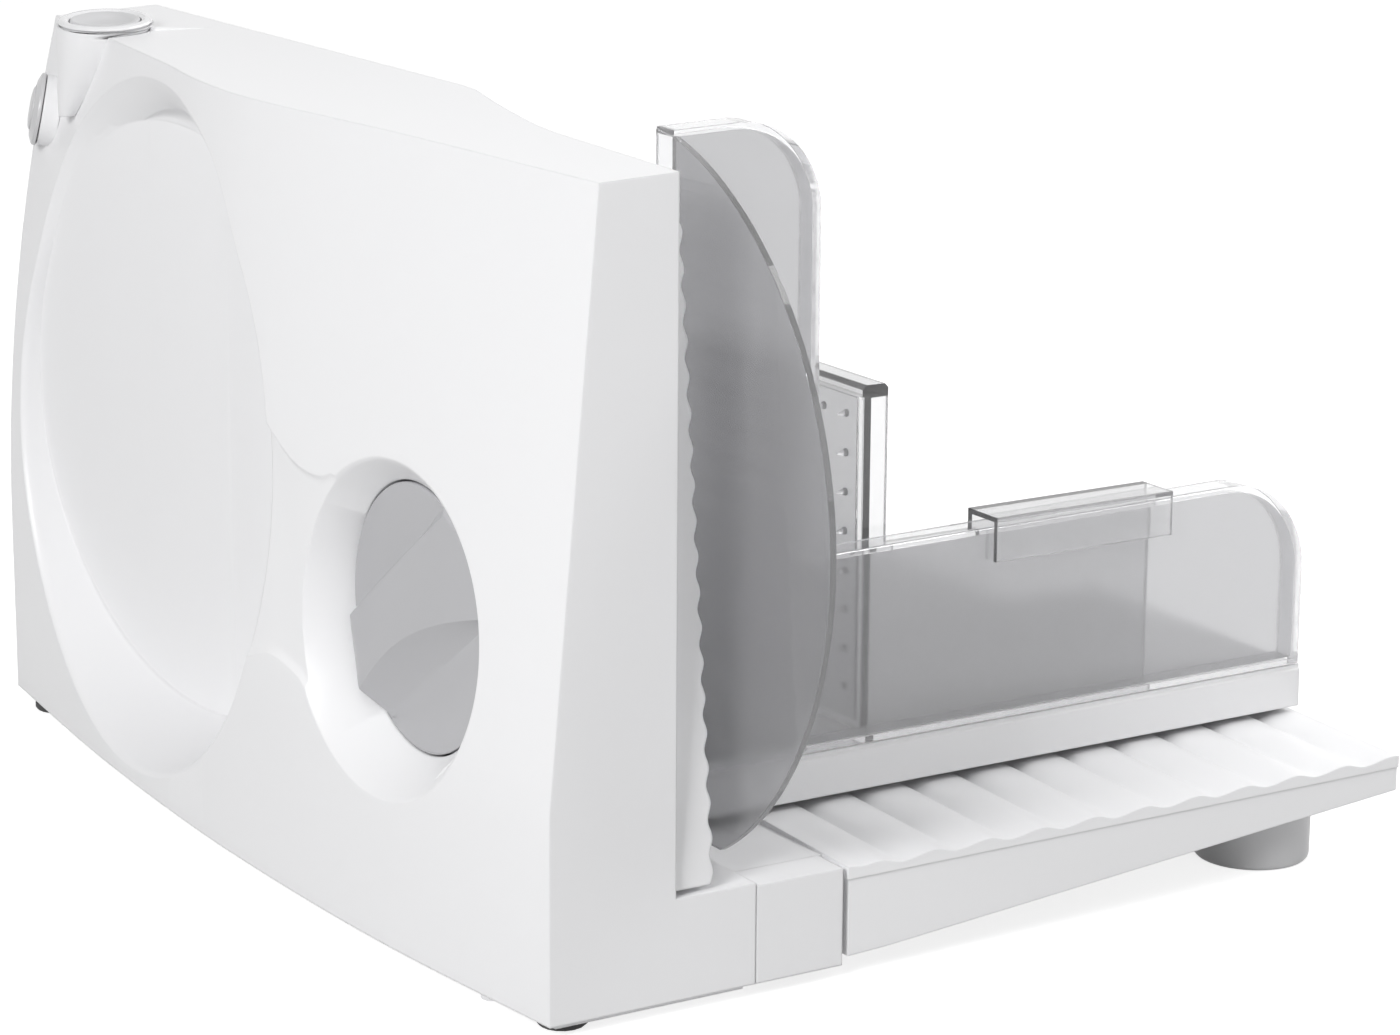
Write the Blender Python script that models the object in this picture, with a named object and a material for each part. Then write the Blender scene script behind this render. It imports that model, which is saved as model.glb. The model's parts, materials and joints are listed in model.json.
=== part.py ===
import bmesh
import bpy
from math import asin, atan2, cos, pi, sin, sqrt, tan
from mathutils import Matrix, Vector

# Units: the named sizes are millimetres, X to the right, Y away from the user, Z up from the table
MM = 0.001
GAP = 0.3
RUN = 0.07
SEG_BIG, SEG_MID, SEG_FIT, SEG_SMALL = 44, 20, 32, 10

# Housing
FOOT_H = 4.0
HOUSE_L = 358.0
WALL = 2.5
NEAR_WALL = 1.5
TOP_LEFT_Z = 223.1
TOP_SLOPE = 0.038
BLOCK_W = 62.8
BLOCK_TOP = 32.3
LEFT_TOP = [(14.6, 0), (9.5, 95), (3.2, 172), (5.1, 209), (11, 245), (19.5, HOUSE_L - 47), (25, HOUSE_L)]
LEFT_BOTTOM = [(0, 0), (-6.8, 70), (-9.3, 125), (-9.3, 190), (-4.8, HOUSE_L - 86), (4, HOUSE_L)]
RIGHT_EDGE = [(38, 0), (40.3, 38), (42.5, 75), (44.7, 87), (51.5, 116), (59.0, 143), (60, 150),
              (60, HOUSE_L)]
STATIONS = [0, 38, 75, 87, 116, 143, 150, 185, 220, HOUSE_L - 93, HOUSE_L - 47, HOUSE_L]
LEVELS = [61, 98, 134, 168, 198]
FLARE_Z = 61.0
LOW_ROOM_X = 45.0
PANEL_Z0 = 38.0
PANEL_Z1 = 216.0
PANEL_EDGE = 8.0
BLOCK_SHORT = 4.0

# Blade and slot
BLADE_Y = HOUSE_L - 110.0
BLADE_Z = 112.0
BLADE_R = 85.0
BLADE_X = 60.2
BLADE_T = 1.2
SLOT_R = BLADE_R + 5.0
SLOT_Y = BLADE_Y - 33.0
BACK_R = BLADE_R - 3.0
POCKET_R = BACK_R - 6.0
BACK_CONE = 1.64

# Dish in the left face
DISH_Y = BLADE_Y + 1.0
DISH_Z = BLADE_Z - 0.5
DISH_R = 103.5
DISH_TAPER = 0.241
RAMP_X = 52.0
RAMP_Y = BLADE_Y - 98.0
RAMP_SLOPE = -0.236
RAMP_BEND_Y = BLADE_Y + 17.0
RAMP_FAR_SLOPE = -0.17
LIP = [(0.0, 0), (0.0, 20), (8.4, 50), (8.2, 70), (6.7, 90), (5.8, 120), (0.0, 140), (0.0, 360)]
LIP_DEEP = 8.0

# Dial
DIAL_Y = 82.0
DIAL_Z = 93.0
DIAL_R = 37.2
DIAL_X = 6.5
DIAL_T = 5.5
RIDGE_H = 4.7
RECESS_Y = 81.5
RECESS_Z = 91.5
RECESS_R = 46.0
SEAT_X = 7.0
DIAL_FLOOR = 12.6
NECK_X = -5.4
NECK_Y = 128.0
NECK_Z = 98.0
HUB_R = 8.0
CAM_R = 14.0
CAM_L = 24.0
CAM_LEAD = 20.0
GROOVE_W = 4.4
GROOVE_D = 3.0
PIN_R = 2.0

# Stop plate
STOP_X = 50.0
STOP_OPEN = 4.0
STOP_CLOSE = 11.0
STOP_R = BLADE_R + 3.0
STOP_Z0 = 33.8
STOP_Z1 = 206.8
STOP_SKIRT = 25.0
RIB_PITCH = 9.3
RIB_A = 0.55
ROD_R = 3.5
ROD_UP = 62.0
ROD_DOWN = 45.0

# Drive
TEETH = 36
MODULE = 1.2
GEAR_X0 = 38.0
GEAR_X1 = 46.0
WORM_R = 5.0
AXLE_R = 4.0
HUB_OUT_R = 12.0
MOTOR_Y0 = BLADE_Y + 37.0
MOTOR_L = 58.0
MOTOR_Y1 = MOTOR_Y0 + MOTOR_L
MOTOR_W = 26.0
MOTOR_H = 38.0

# Deck
DECK_X0 = 63.1
DECK_X1 = 285.7
DECK_Y0 = 13.0
DECK_Y1 = HOUSE_L - 8.0
APRON_X = 92.2
DECK_Z = 33.2
DECK_T = 4.7
WAVE = 18.1
WAVE_X = 102.6
SLOT_X = 154.0
SLOT_W = 8.0
DFOOT_R = 17.0
DFOOT_X = 252.0
DECK_SCREW_Z = 20.0

# Carriage
WALL_Y = 45.5
WALL_D = 9.0
CLEAR_T = 2.0
BASE_X0 = 66.5
BASE_X1 = 285.5
BASE_Y1 = 150.0
BASE_Z0 = 34.8
BASE_Z1 = 48.0
GUARD_X = 64.0
GUARD_Y = 72.5
GUARD_Z = 124.5
GUARD_R = 103.5
TALL_X = 111.0
TALL_Z = 226.7
TALL_R = 26.0
LOW_Z = 105.3
LOW_R = 28.0
LOW_X = 284.6

# Remnant holder
HOLD_X = 132.0
HOLD_T = 8.4
HOLD_Y0 = 55.0
HOLD_Y1 = 142.0
HOLD_TOP = 148.4
SLIDE_X1 = 233.0
SLIDE_TOP = 101.0
HOOK_X0 = 170.0
HOOK_X1 = 232.5
SPIKE = 11.3
SPIKE_T = 1.2
SPIKE_EDGE = 3.0

# Buttons
PB_X = 23.4
PB_Y = HOUSE_L - 42.0
PB_Z = 226.2
PB_R = 14.6
SB_X = 14.9
SB_Y = HOUSE_L - 9.7
SB_Z = 195.4
SB_R = 11.6

# Cord gland
GLAND_X = 34.0
GLAND_Z = 20.0
GLAND_R = 6.0


def clear_scene():
    for obj in list(bpy.data.objects):
        bpy.data.objects.remove(obj, do_unlink=True)


def mesh_object(name, verts, faces, origin=(0, 0, 0)):
    mesh = bpy.data.meshes.new(name)
    start = Vector(origin)
    mesh.from_pydata([(Vector(v) - start) * MM for v in verts], [], faces)
    bm = bmesh.new()
    bm.from_mesh(mesh)
    bmesh.ops.remove_doubles(bm, verts=bm.verts, dist=0.000001)
    bmesh.ops.recalc_face_normals(bm, faces=bm.faces)
    bm.to_mesh(mesh)
    bm.free()
    obj = bpy.data.objects.new(name, mesh)
    bpy.context.collection.objects.link(obj)
    obj.location = start * MM
    return obj


def loft(name, rings, origin=(0, 0, 0)):
    n = len(rings[0])
    verts = [v for ring in rings for v in ring]
    faces = []
    for k in range(len(rings) - 1):
        for i in range(n):
            j = (i + 1) % n
            faces.append((k * n + i, k * n + j, (k + 1) * n + j, (k + 1) * n + i))
    faces.append(tuple(range(n)))
    faces.append(tuple(range((len(rings) - 1) * n, len(rings) * n)))
    return mesh_object(name, verts, faces, origin)


def placed(axis, a, b, t):
    if axis == "X":
        return (t, a, b)
    if axis == "Y":
        return (a, t, b)
    return (a, b, t)


def prism(name, outline, axis, t0, t1, origin=(0, 0, 0)):
    rings = [[placed(axis, a, b, t) for a, b in outline] for t in (t0, t1)]
    return loft(name, rings, origin)


def box(name, lo, hi, origin=(0, 0, 0)):
    outline = [(lo[0], lo[1]), (hi[0], lo[1]), (hi[0], hi[1]), (lo[0], hi[1])]
    return prism(name, outline, "Z", lo[2], hi[2], origin)


def turned(name, axis, centre, profile, seg=SEG_MID, origin=(0, 0, 0)):
    # Profile is a list of (radius, place along the axis)
    rings = []
    for r, t in profile:
        ring = []
        for i in range(seg):
            ang = 2 * pi * i / seg
            ring.append(placed(axis, centre[0] + r * cos(ang), centre[1] + r * sin(ang), t))
        rings.append(ring)
    return loft(name, rings, origin)


def combine(obj, tool, operation="DIFFERENCE"):
    tool.hide_render = True
    tool.display_type = "WIRE"
    mod = obj.modifiers.new("combine", "BOOLEAN")
    mod.operation = operation
    mod.solver = "EXACT"
    mod.object = tool
    bpy.context.view_layer.update()
    graph = bpy.context.evaluated_depsgraph_get()
    mesh = bpy.data.meshes.new_from_object(obj.evaluated_get(graph))
    obj.modifiers.clear()
    obj.data = mesh
    bpy.data.objects.remove(tool, do_unlink=True)
    return obj


def cut(obj, *tools):
    for tool in tools:
        combine(obj, tool)
    return obj


def join(obj, *tools):
    for tool in tools:
        combine(obj, tool, "UNION")
    return obj


def keep(obj, tool):
    return combine(obj, tool, "INTERSECT")


def tube_cut(obj, axis, centre, r, t0, t1, seg=16):
    return cut(obj, turned("hole", axis, centre, [(r, t0), (r, t1)], seg))


def curve_at(points, y):
    # Smooth curve through (x, y) points
    count = len(points)
    i = 0
    while i < count - 2 and y > points[i + 1][1]:
        i += 1

    def slope(k):
        lo = max(k - 1, 0)
        hi = min(k + 1, count - 1)
        return (points[hi][0] - points[lo][0]) / (points[hi][1] - points[lo][1])

    span = points[i + 1][1] - points[i][1]
    t = (y - points[i][1]) / span
    a = (2 * t**3 - 3 * t * t + 1) * points[i][0] + (t**3 - 2 * t * t + t) * span * slope(i)
    b = (-2 * t**3 + 3 * t * t) * points[i + 1][0] + (t**3 - t * t) * span * slope(i + 1)
    return a + b


def left_x(y, z):
    low = curve_at(LEFT_BOTTOM, y)
    high = curve_at(LEFT_TOP, y)
    t = max(0.0, (z - FLARE_Z) / (TOP_LEFT_Z - FLARE_Z))
    return low + (high - low) * min(t, 1.0) ** (1 + y / HOUSE_L)


def line_at(points, y):
    # Straight pieces through (x, y) points
    for (x0, y0), (x1, y1) in zip(points, points[1:]):
        if y <= y1:
            return x0 + (x1 - x0) * (y - y0) / (y1 - y0)
    return points[-1][0]


def right_x(y):
    return line_at(RIGHT_EDGE, y)


def top_z(x):
    return TOP_LEFT_Z + TOP_SLOPE * (x - LEFT_TOP[0][0])


def housing_solid(name, inset, bottom):
    rings = []
    near = NEAR_WALL if inset else 0.0
    for y in STATIONS:
        at = min(max(y, near), HOUSE_L - inset)
        ring = [(left_x(at, FLARE_Z) + inset, at, bottom)]
        for z in LEVELS:
            ring.append((left_x(at, z) + inset, at, z))
        edge = curve_at(LEFT_TOP, at) + inset * 1.1
        ring.append((edge, at, top_z(edge) - inset))
        side = right_x(at) - inset
        ring.append((side, at, top_z(side) - inset))
        ring.append((side, at, bottom))
        rings.append(ring)
    return loft(name, rings)


def ramp_side(name, shift):
    # Everything on the left of the dish floor, which slopes less beyond the blade's centre
    y0, y1 = 60.0, HOUSE_L + 62.0
    x0 = RAMP_X + RAMP_SLOPE * (y0 - RAMP_Y) + shift
    bend = RAMP_X + RAMP_SLOPE * (RAMP_BEND_Y - RAMP_Y) + shift
    x1 = bend + RAMP_FAR_SLOPE * (y1 - RAMP_BEND_Y)
    outline = [(-60, y0), (x0, y0), (bend, RAMP_BEND_Y), (x1, y1), (-60, y1)]
    return prism(name, outline, "Z", -20, 260)


def face_point(centre, r, ang):
    # The place on the left face at a radius and angle about an axis along X
    y = centre[0] + r * cos(ang)
    z = centre[1] + r * sin(ang)
    return left_x(min(max(y, 0.0), HOUSE_L), z), y, z


def dish_point(grow, ang, x, lip):
    r = DISH_R + grow - DISH_TAPER * (x + 12) + lip
    return x, DISH_Y + r * cos(ang), DISH_Z + r * sin(ang)


def dish_void(name, grow, x_end):
    # A cone whose upper part flares into a soft lip near the left face
    rings = [[], [], [], [], []]
    for i in range(SEG_BIG):
        ang = 2 * pi * i / SEG_BIG
        lip = line_at(LIP, ang * 180 / pi)
        x = face_point((DISH_Y, DISH_Z), DISH_R + lip - 4.0, ang)[0]
        for k, (at, part) in enumerate(((-30.0, 1.0), (x, 1.0), (x + 0.4 * LIP_DEEP, 0.45),
                                        (x + LIP_DEEP, 0.0), (x_end, 0.0))):
            rings[k].append(dish_point(grow, ang, at, part * lip))
    return keep(loft(name, rings), ramp_side("ramp", grow))


def slot_round(name, r, x0, x1, y_end):
    body = turned(name, "X", (BLADE_Y, BLADE_Z), [(r, x0), (r, x1)], SEG_BIG)
    return keep(body, box("half", (x0 - 5, 0, -20), (x1 + 5, y_end, 300)))


def neck_outline():
    up = [(150, 131), (146.5, 129), (138.9, 125.2), (131.7, 122.8), (123.4, 122), (117.5, 122.7),
          (112.5, 124.6), (107, 124)]
    low = [(104, 64), (114, 61.5), (120, 62.6), (124.4, 64.8), (133.3, 66.9), (140.9, 67.5),
           (145.8, 66.5), (157.7, 62)]
    return [(y, z + FOOT_H) for y, z in up + [(90, 110), (90, 70)] + low]


def neck_void(name, grow):
    # A shallow saddle between the dish and the dial's recess, with drafted sides
    outline = neck_outline()
    if grow:
        outline = [(NECK_Y + (y - NECK_Y) * 1.1, NECK_Z + (z - NECK_Z) * 1.1) for y, z in outline]
    outer = []
    floor = []
    for y, z in outline:
        side = 1.0 if z > NECK_Z else -1.0
        outer.append((-14.0, y, z + 4.0 * side))
        floor.append((NECK_X + 0.07 * (z - NECK_Z) - 0.02 * (y - NECK_Y) + grow, y, z - 0.8 * side))
    return loft(name, [outer, floor])


def dial_void(name, grow):
    # The recess runs from a circle on the left face down to the dial's seat
    rings = [[], [], [], []]
    for i in range(36):
        ang = 2 * pi * i / 36
        x, y, z = face_point((RECESS_Y, RECESS_Z), RECESS_R + grow, ang)
        rings[0].append((x - 8.0, y + 4.0 * cos(ang), z + 4.0 * sin(ang)))
        rings[1].append((x, y, z))
        r = DIAL_R + 0.6 + grow
        rings[2].append((SEAT_X, DIAL_Y + r * cos(ang), DIAL_Z + r * sin(ang)))
        rings[3].append((DIAL_FLOOR + grow, DIAL_Y + r * cos(ang), DIAL_Z + r * sin(ang)))
    return loft(name, rings)


def stop_outline(grow):
    # The round edge beside the blade ends at the plate's lower edge
    near = 1.8 - 0.3 * (grow > 0)
    bottom = STOP_Z0 - grow
    top = 66.0 * pi / 180
    low = min(top, asin((BLADE_Z - STOP_Z0) / STOP_R))
    pts = [(near, bottom), (near, 41.0), (19.2 - grow, STOP_Z1 + grow)]
    pts.append((BLADE_Y - STOP_R * cos(top) - 22, STOP_Z1 + grow))
    for i in range(17):
        a = top - (top + low) * i / 16
        pts.append((BLADE_Y - STOP_R * cos(a), BLADE_Z + STOP_R * sin(a)))
    if pts[-1][1] > bottom + 0.01:
        pts.append((pts[-1][0], bottom))
    return pts


def boss(axis, centre, r, t0, t1, seg=12):
    return turned("boss", axis, centre, [(r, t0), (r, t1)], seg)


BOTTOM_SCREWS = [(1.8, 34.0), (52.0, 20.0), (5.0, HOUSE_L - 40), (52.0, HOUSE_L - 36)]
PANEL_SCREWS = [(HOUSE_L - PANEL_EDGE - 8, PANEL_Z1 - 10), (HOUSE_L - PANEL_EDGE - 8, PANEL_Z0 + 10),
                (BLADE_Y + 4, PANEL_Z1 - 10), (BLADE_Y + 4, PANEL_Z0 + 8)]
BOARD_POSTS = [(HOUSE_L - 58, 126.0), (HOUSE_L - 22, 166.0)]
WORM_SCREWS = [(BLADE_Y - 10, 76.0), (BLADE_Y - 10, 94.0)]
MOTOR_SCREWS = [(BLADE_Y + 27, 69.0), (BLADE_Y + 27, 101.0)]
DECK_SCREWS = (40.0, DECK_Y1 - 30)


def make_main_shell():
    shell = housing_solid("main_shell", 0.0, FOOT_H)
    block_y = HOUSE_L - BLOCK_SHORT
    join(shell, box("block", (30, 0, FOOT_H), (BLOCK_W, block_y, BLOCK_TOP)))
    inner = housing_solid("inner", WALL, -5.0)
    room = box("room", (-60, -20, BLOCK_TOP), (BLOCK_W + 30, HOUSE_L + 42, 300))
    low = box("low", (-60, -20, -20), (LOW_ROOM_X, HOUSE_L + 42, BLOCK_TOP + 1))
    keep(inner, join(room, low))
    under = box("under", (28, NEAR_WALL, -6), (BLOCK_W - WALL, block_y - WALL, BLOCK_TOP - WALL))
    join(inner, under)
    cut(inner, dish_void("dish_out", WALL, 42.5))
    cut(inner, slot_round("slot_out", SLOT_R + WALL, 25, 62, SLOT_Y + WALL))
    cut(inner, dial_void("dial_out", 2.0))
    cut(inner, neck_void("neck_out", 2.0))
    for y in (DIAL_Z + ROD_UP, DIAL_Z - ROD_DOWN):
        cut(inner, boss("X", (DIAL_Y, y), ROD_R + 3.5, -20, 18))
    for x, y in BOTTOM_SCREWS:
        cut(inner, boss("Z", (x, y), 3.6, 6.0, 40 if x > 40 else 26))
    for y, z in PANEL_SCREWS:
        cut(inner, boss("X", (y, z), 4.0, -20, 56.6))
    cut(inner, boss("X", (BLADE_Y, BLADE_Z), 9.0, 20, 37.4, 28))
    cut(inner, turned("ring", "Z", (PB_X, PB_Y), [(PB_R + 3.5, 205), (PB_R + 3.5, 240)]))
    cut(shell, inner)
    join(shell, power_boss("stem"), safety_boss())
    cut(shell, dish_void("dish", 0.0, 48.0))
    cut(shell, slot_void())
    back = turned("back", "X", (BLADE_Y, BLADE_Z),
                  [(POCKET_R - 23.5 * BACK_CONE, 36.0), (POCKET_R - 1.5 * BACK_CONE, 58.0)], 40)
    cut(back, ramp_side("side", WALL + 0.15))
    cut(back, boss("X", (BLADE_Y, BLADE_Z), 9.0, 20, 37.4, 28))
    cut(shell, back)
    cut(shell, far_opening("opening", 0.0, 56.9, 70))
    blade_room = [(BLADE_R + 2, BLADE_X - 0.25), (BLADE_R + 2, 66)]
    cut(shell, turned("clear", "X", (BLADE_Y, BLADE_Z), blade_room, 40))
    cut(shell, prism("pocket", stop_outline(0.6), "X", 42.8, 80))
    near_open = [(NEAR_WALL, STOP_Z0 - 1.2), (NEAR_WALL, 41.0), (18.6, STOP_Z1 + 0.6),
                 (95, STOP_Z1 + 0.6), (95, STOP_Z0 - 1.2)]
    cut(shell, prism("near_open", near_open, "X", 32, 43.2))
    cut(shell, dial_void("dial", 0.0))
    cut(shell, neck_void("neck", 0.0))
    tube_cut(shell, "X", (DIAL_Y, DIAL_Z), HUB_R + RUN, 5, 20, SEG_FIT)
    for z in (DIAL_Z + ROD_UP, DIAL_Z - ROD_DOWN):
        tube_cut(shell, "X", (DIAL_Y, z), ROD_R + RUN, 5.7, 19)
    for x, y in BOTTOM_SCREWS:
        tube_cut(shell, "Z", (x, y), 1.55, 5, 22, SEG_SMALL)
    for y, z in PANEL_SCREWS:
        tube_cut(shell, "X", (y, z), 1.55, 44, 60, SEG_SMALL)
    tube_cut(shell, "X", (BLADE_Y, BLADE_Z), AXLE_R + RUN, 31.8, 40, SEG_FIT)
    tube_cut(shell, "Y", (GLAND_X, GLAND_Z), GLAND_R + GAP, HOUSE_L - 10, HOUSE_L + 4)
    for y in DECK_SCREWS:
        tube_cut(shell, "X", (y, DECK_SCREW_Z), 2.2, BLOCK_W - 4.8, BLOCK_W + 1.2, SEG_SMALL)
    cut(shell, power_hole())
    cut(shell, safety_hole())
    return shell


def slot_void():
    plug = turned("plug", "X", (BLADE_Y, BLADE_Z),
                  [(BACK_R - 40 * BACK_CONE, 19.5), (BACK_R, 59.5), (BACK_R, 90)], SEG_BIG)
    ring = slot_round("slot", SLOT_R, 30, 80, SLOT_Y)
    return cut(ring, plug)


def far_opening(name, less, x0, x1):
    r = POCKET_R - less
    body = turned(name, "X", (BLADE_Y, BLADE_Z), [(r, x0), (r, x1)], 40)
    lo = (x0, BLADE_Y + less, PANEL_Z0 + less)
    hi = (x1, HOUSE_L - PANEL_EDGE - less, PANEL_Z1 - less)
    return join(body, box("rest", lo, hi))


def power_axis():
    return Vector((-0.046, -0.077, 0.996)).normalized()


def oriented(obj, centre, axis):
    # Turns a body made along +Z about the origin into place
    rot = Vector((0, 0, 1)).rotation_difference(axis).to_matrix().to_4x4()
    obj.data.transform(Matrix.Translation(Vector(centre) * MM) @ rot)
    return obj


def moved_origin(obj, origin):
    start = Vector(origin) * MM
    obj.data.transform(Matrix.Translation(-start))
    obj.location = start
    return obj


def power_boss(name):
    rings = []
    levels = ((PB_X, PB_Y, PB_Z - 0.4, PB_R + 0.5), (19.6, PB_Y + 2.2, 214, 10.9),
              (12.6, PB_Y + 7, 197, 2.5))
    for cx, cy, z, r in levels:
        ring = []
        for i in range(20):
            a = 2 * pi * i / 20
            lean = 0.0
            if r > PB_R:
                lean = 0.046 * r * cos(a) + 0.077 * r * sin(a)
            ring.append((cx + r * cos(a), cy + r * sin(a), z + lean))
        rings.append(ring)
    return loft(name, rings)


def power_hole():
    profile = [(11.6, -8.6), (11.6, -2.2), (PB_R - 0.4, -2.2), (PB_R - 0.4, 8)]
    body = turned("power_hole", "Z", (0, 0), profile)
    join(body, box("switch_room", (-5.9, -8.4, -31.0), (5.9, 8.4, -8.0)))
    return oriented(body, (PB_X, PB_Y, PB_Z), power_axis())


def safety_axis():
    return Vector((-0.905, 0.373, 0.2)).normalized()


def safety_boss():
    # A short pad that seats the ring square on the leaning wall
    body = turned("safety_boss", "Z", (0, 0), [(SB_R - 0.4, -5.5), (SB_R - 0.4, 0.0)])
    return oriented(body, (SB_X, SB_Y, SB_Z), safety_axis())


def safety_hole():
    profile = [(8.6, -22), (8.6, 0.0), (SB_R + GAP, 0.0), (SB_R + GAP, 8)]
    body = turned("safety_hole", "Z", (0, 0), profile)
    return oriented(body, (SB_X, SB_Y, SB_Z), safety_axis())


def make_power_ring():
    profile = [(PB_R - 0.8, -1.9), (PB_R - 0.8, 0.3), (PB_R, 0.3), (PB_R - 0.6, 1.4), (PB_R - 2.4, 1.4)]
    ring = turned("power_ring", "Z", (0, 0), profile)
    cut(ring, turned("bore", "Z", (0, 0), [(11.3, -5), (11.3, 5)]))
    return oriented(ring, (PB_X, PB_Y, PB_Z), power_axis())


def make_power_button():
    button = turned("power_button", "Z", (0, 0), [(10.9, -5.0), (10.9, 0.9), (10.0, 1.2)])
    cut(button, turned("dish", "Z", (0, 0), [(0.6, -0.9), (4.5, -0.6), (8.0, 0.3), (9.6, 1.3), (9.6, 3)]))
    join(button, turned("stem", "Z", (0, 0), [(2.4, -17.5), (2.4, -4.0)], SEG_SMALL))
    return moved_origin(oriented(button, (PB_X, PB_Y, PB_Z), power_axis()), (PB_X, PB_Y, PB_Z))


def make_switch(name, centre, axis, depth, size):
    body = box(name, (-size[0] / 2, -size[1] / 2, -depth - size[2]), (size[0] / 2, size[1] / 2, -depth))
    cut(body, turned("hole", "Z", (0, 0), [(2.6, -depth - size[2] + 4), (2.6, 5)], SEG_SMALL))
    return oriented(body, centre, axis)


def make_safety_ring():
    profile = [(8.3, -6.0), (8.3, GAP), (SB_R, GAP), (SB_R, 1.3), (SB_R - 1.4, 2.0), (7.9, 2.7)]
    ring = turned("safety_ring", "Z", (0, 0), profile)
    cut(ring, turned("bore", "Z", (0, 0), [(7.4, -9), (7.4, 6)]))
    return oriented(ring, (SB_X, SB_Y, SB_Z), safety_axis())


def make_safety_button():
    profile = [(7.0, -7.0), (7.0, 3.0), (5.8, 3.6), (3.0, 3.9)]
    button = turned("safety_button", "Z", (0, 0), profile)
    join(button, turned("stem", "Z", (0, 0), [(2.4, -15.5), (2.4, -6.0)], SEG_SMALL))
    return moved_origin(oriented(button, (SB_X, SB_Y, SB_Z), safety_axis()), (SB_X, SB_Y, SB_Z))


def make_side_panel():
    panel = far_opening("side_panel", GAP, 57.2, 59.7)
    for y, z in PANEL_SCREWS:
        tube_cut(panel, "X", (y, z), 1.7, 50, 70, SEG_SMALL)
    tube_cut(panel, "X", (BLADE_Y, BLADE_Z), HUB_OUT_R + 0.3, 50, 70, SEG_MID)
    for y, z in WORM_SCREWS:
        join(panel, boss("X", (y, z), 3.4, 55.2, 57.5))
    for y, z in MOTOR_SCREWS:
        join(panel, boss("X", (y, z), 3.4, 54.2, 57.5))
    for y, z in BOARD_POSTS:
        join(panel, boss("X", (y, z), 3.0, 47.9, 57.5))
    return panel


def make_base_end_cap():
    cap = box("base_end_cap", (BLOCK_W + GAP, 0, FOOT_H), (90.5, DECK_Y0 - GAP, 31.5))
    cut(cap, box("hollow", (BLOCK_W + GAP + 2, 2, 0), (88.5, DECK_Y0 - GAP - 2, 29.2)))
    return cap


def make_bottom_cover():
    pts = []
    near = NEAR_WALL + GAP
    far = HOUSE_L - WALL - GAP
    step = far - BLOCK_SHORT
    for y in [near] + STATIONS[1:-1] + [far]:
        pts.append((left_x(y, FLARE_Z) + WALL + GAP, y))
    right = BLOCK_W - WALL - GAP
    inner = LOW_ROOM_X - GAP
    pts = pts + [(inner, far), (inner, step), (right, step), (right, near)]
    cover = prism("bottom_cover", pts, "Z", 2.7, 5.7)
    for x, y in BOTTOM_SCREWS:
        tube_cut(cover, "Z", (x, y), 1.7, 0, 10, SEG_SMALL)
    for x, y in FEET:
        tube_cut(cover, "Z", (x, y), 3.0 + RUN, 0, 10)
    return cover


FEET = [(10.0, 11.0), (50.0, 40.0), (10.0, HOUSE_L - 18), (50.0, HOUSE_L - 18)]


def make_foot(index):
    x, y = FEET[index]
    profile = [(6.2, 0.0), (7.0, 0.8), (7.0, 2.4), (2.95, 2.4), (2.95, 6.4)]
    return turned("rubber_foot_%d" % (index + 1), "Z", (x, y), profile, 16)


def make_screw(name, axis, centre, head, tip, r=1.5, head_r=3.0, head_t=1.6):
    sign = 1 if tip > head else -1
    profile = [(head_r, head - sign * head_t), (head_r, head), (r, head), (r, tip)]
    return turned(name, axis, centre, profile, SEG_SMALL)


def deck_height(x, y):
    lift = min(y, WALL_Y) / WALL_Y
    base = 31.8 + (DECK_Z - 31.8) * lift
    if x < APRON_X + 3 or y > WALL_Y + 12:
        return base - 0.5
    phase = ((x - WAVE_X) / WAVE) % 1.0
    valley = 0.4
    depth = 1.4
    if phase < valley:
        return base - depth * (phase / valley) ** (1.2 + lift)
    return base - depth * (1 - (phase - valley) / (1 - valley)) ** (1.2 + lift)


def deck_outline(d):
    return [(DECK_X0 + d, DECK_Y0 + d), (APRON_X + d, DECK_Y0 + d), (APRON_X + d, d), (DECK_X1 - d, d),
            (DECK_X1 - d, DECK_Y1 - d), (DECK_X0 + d, DECK_Y1 - d)]


def deck_under():
    return DECK_Z - 0.5 - DECK_T


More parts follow.
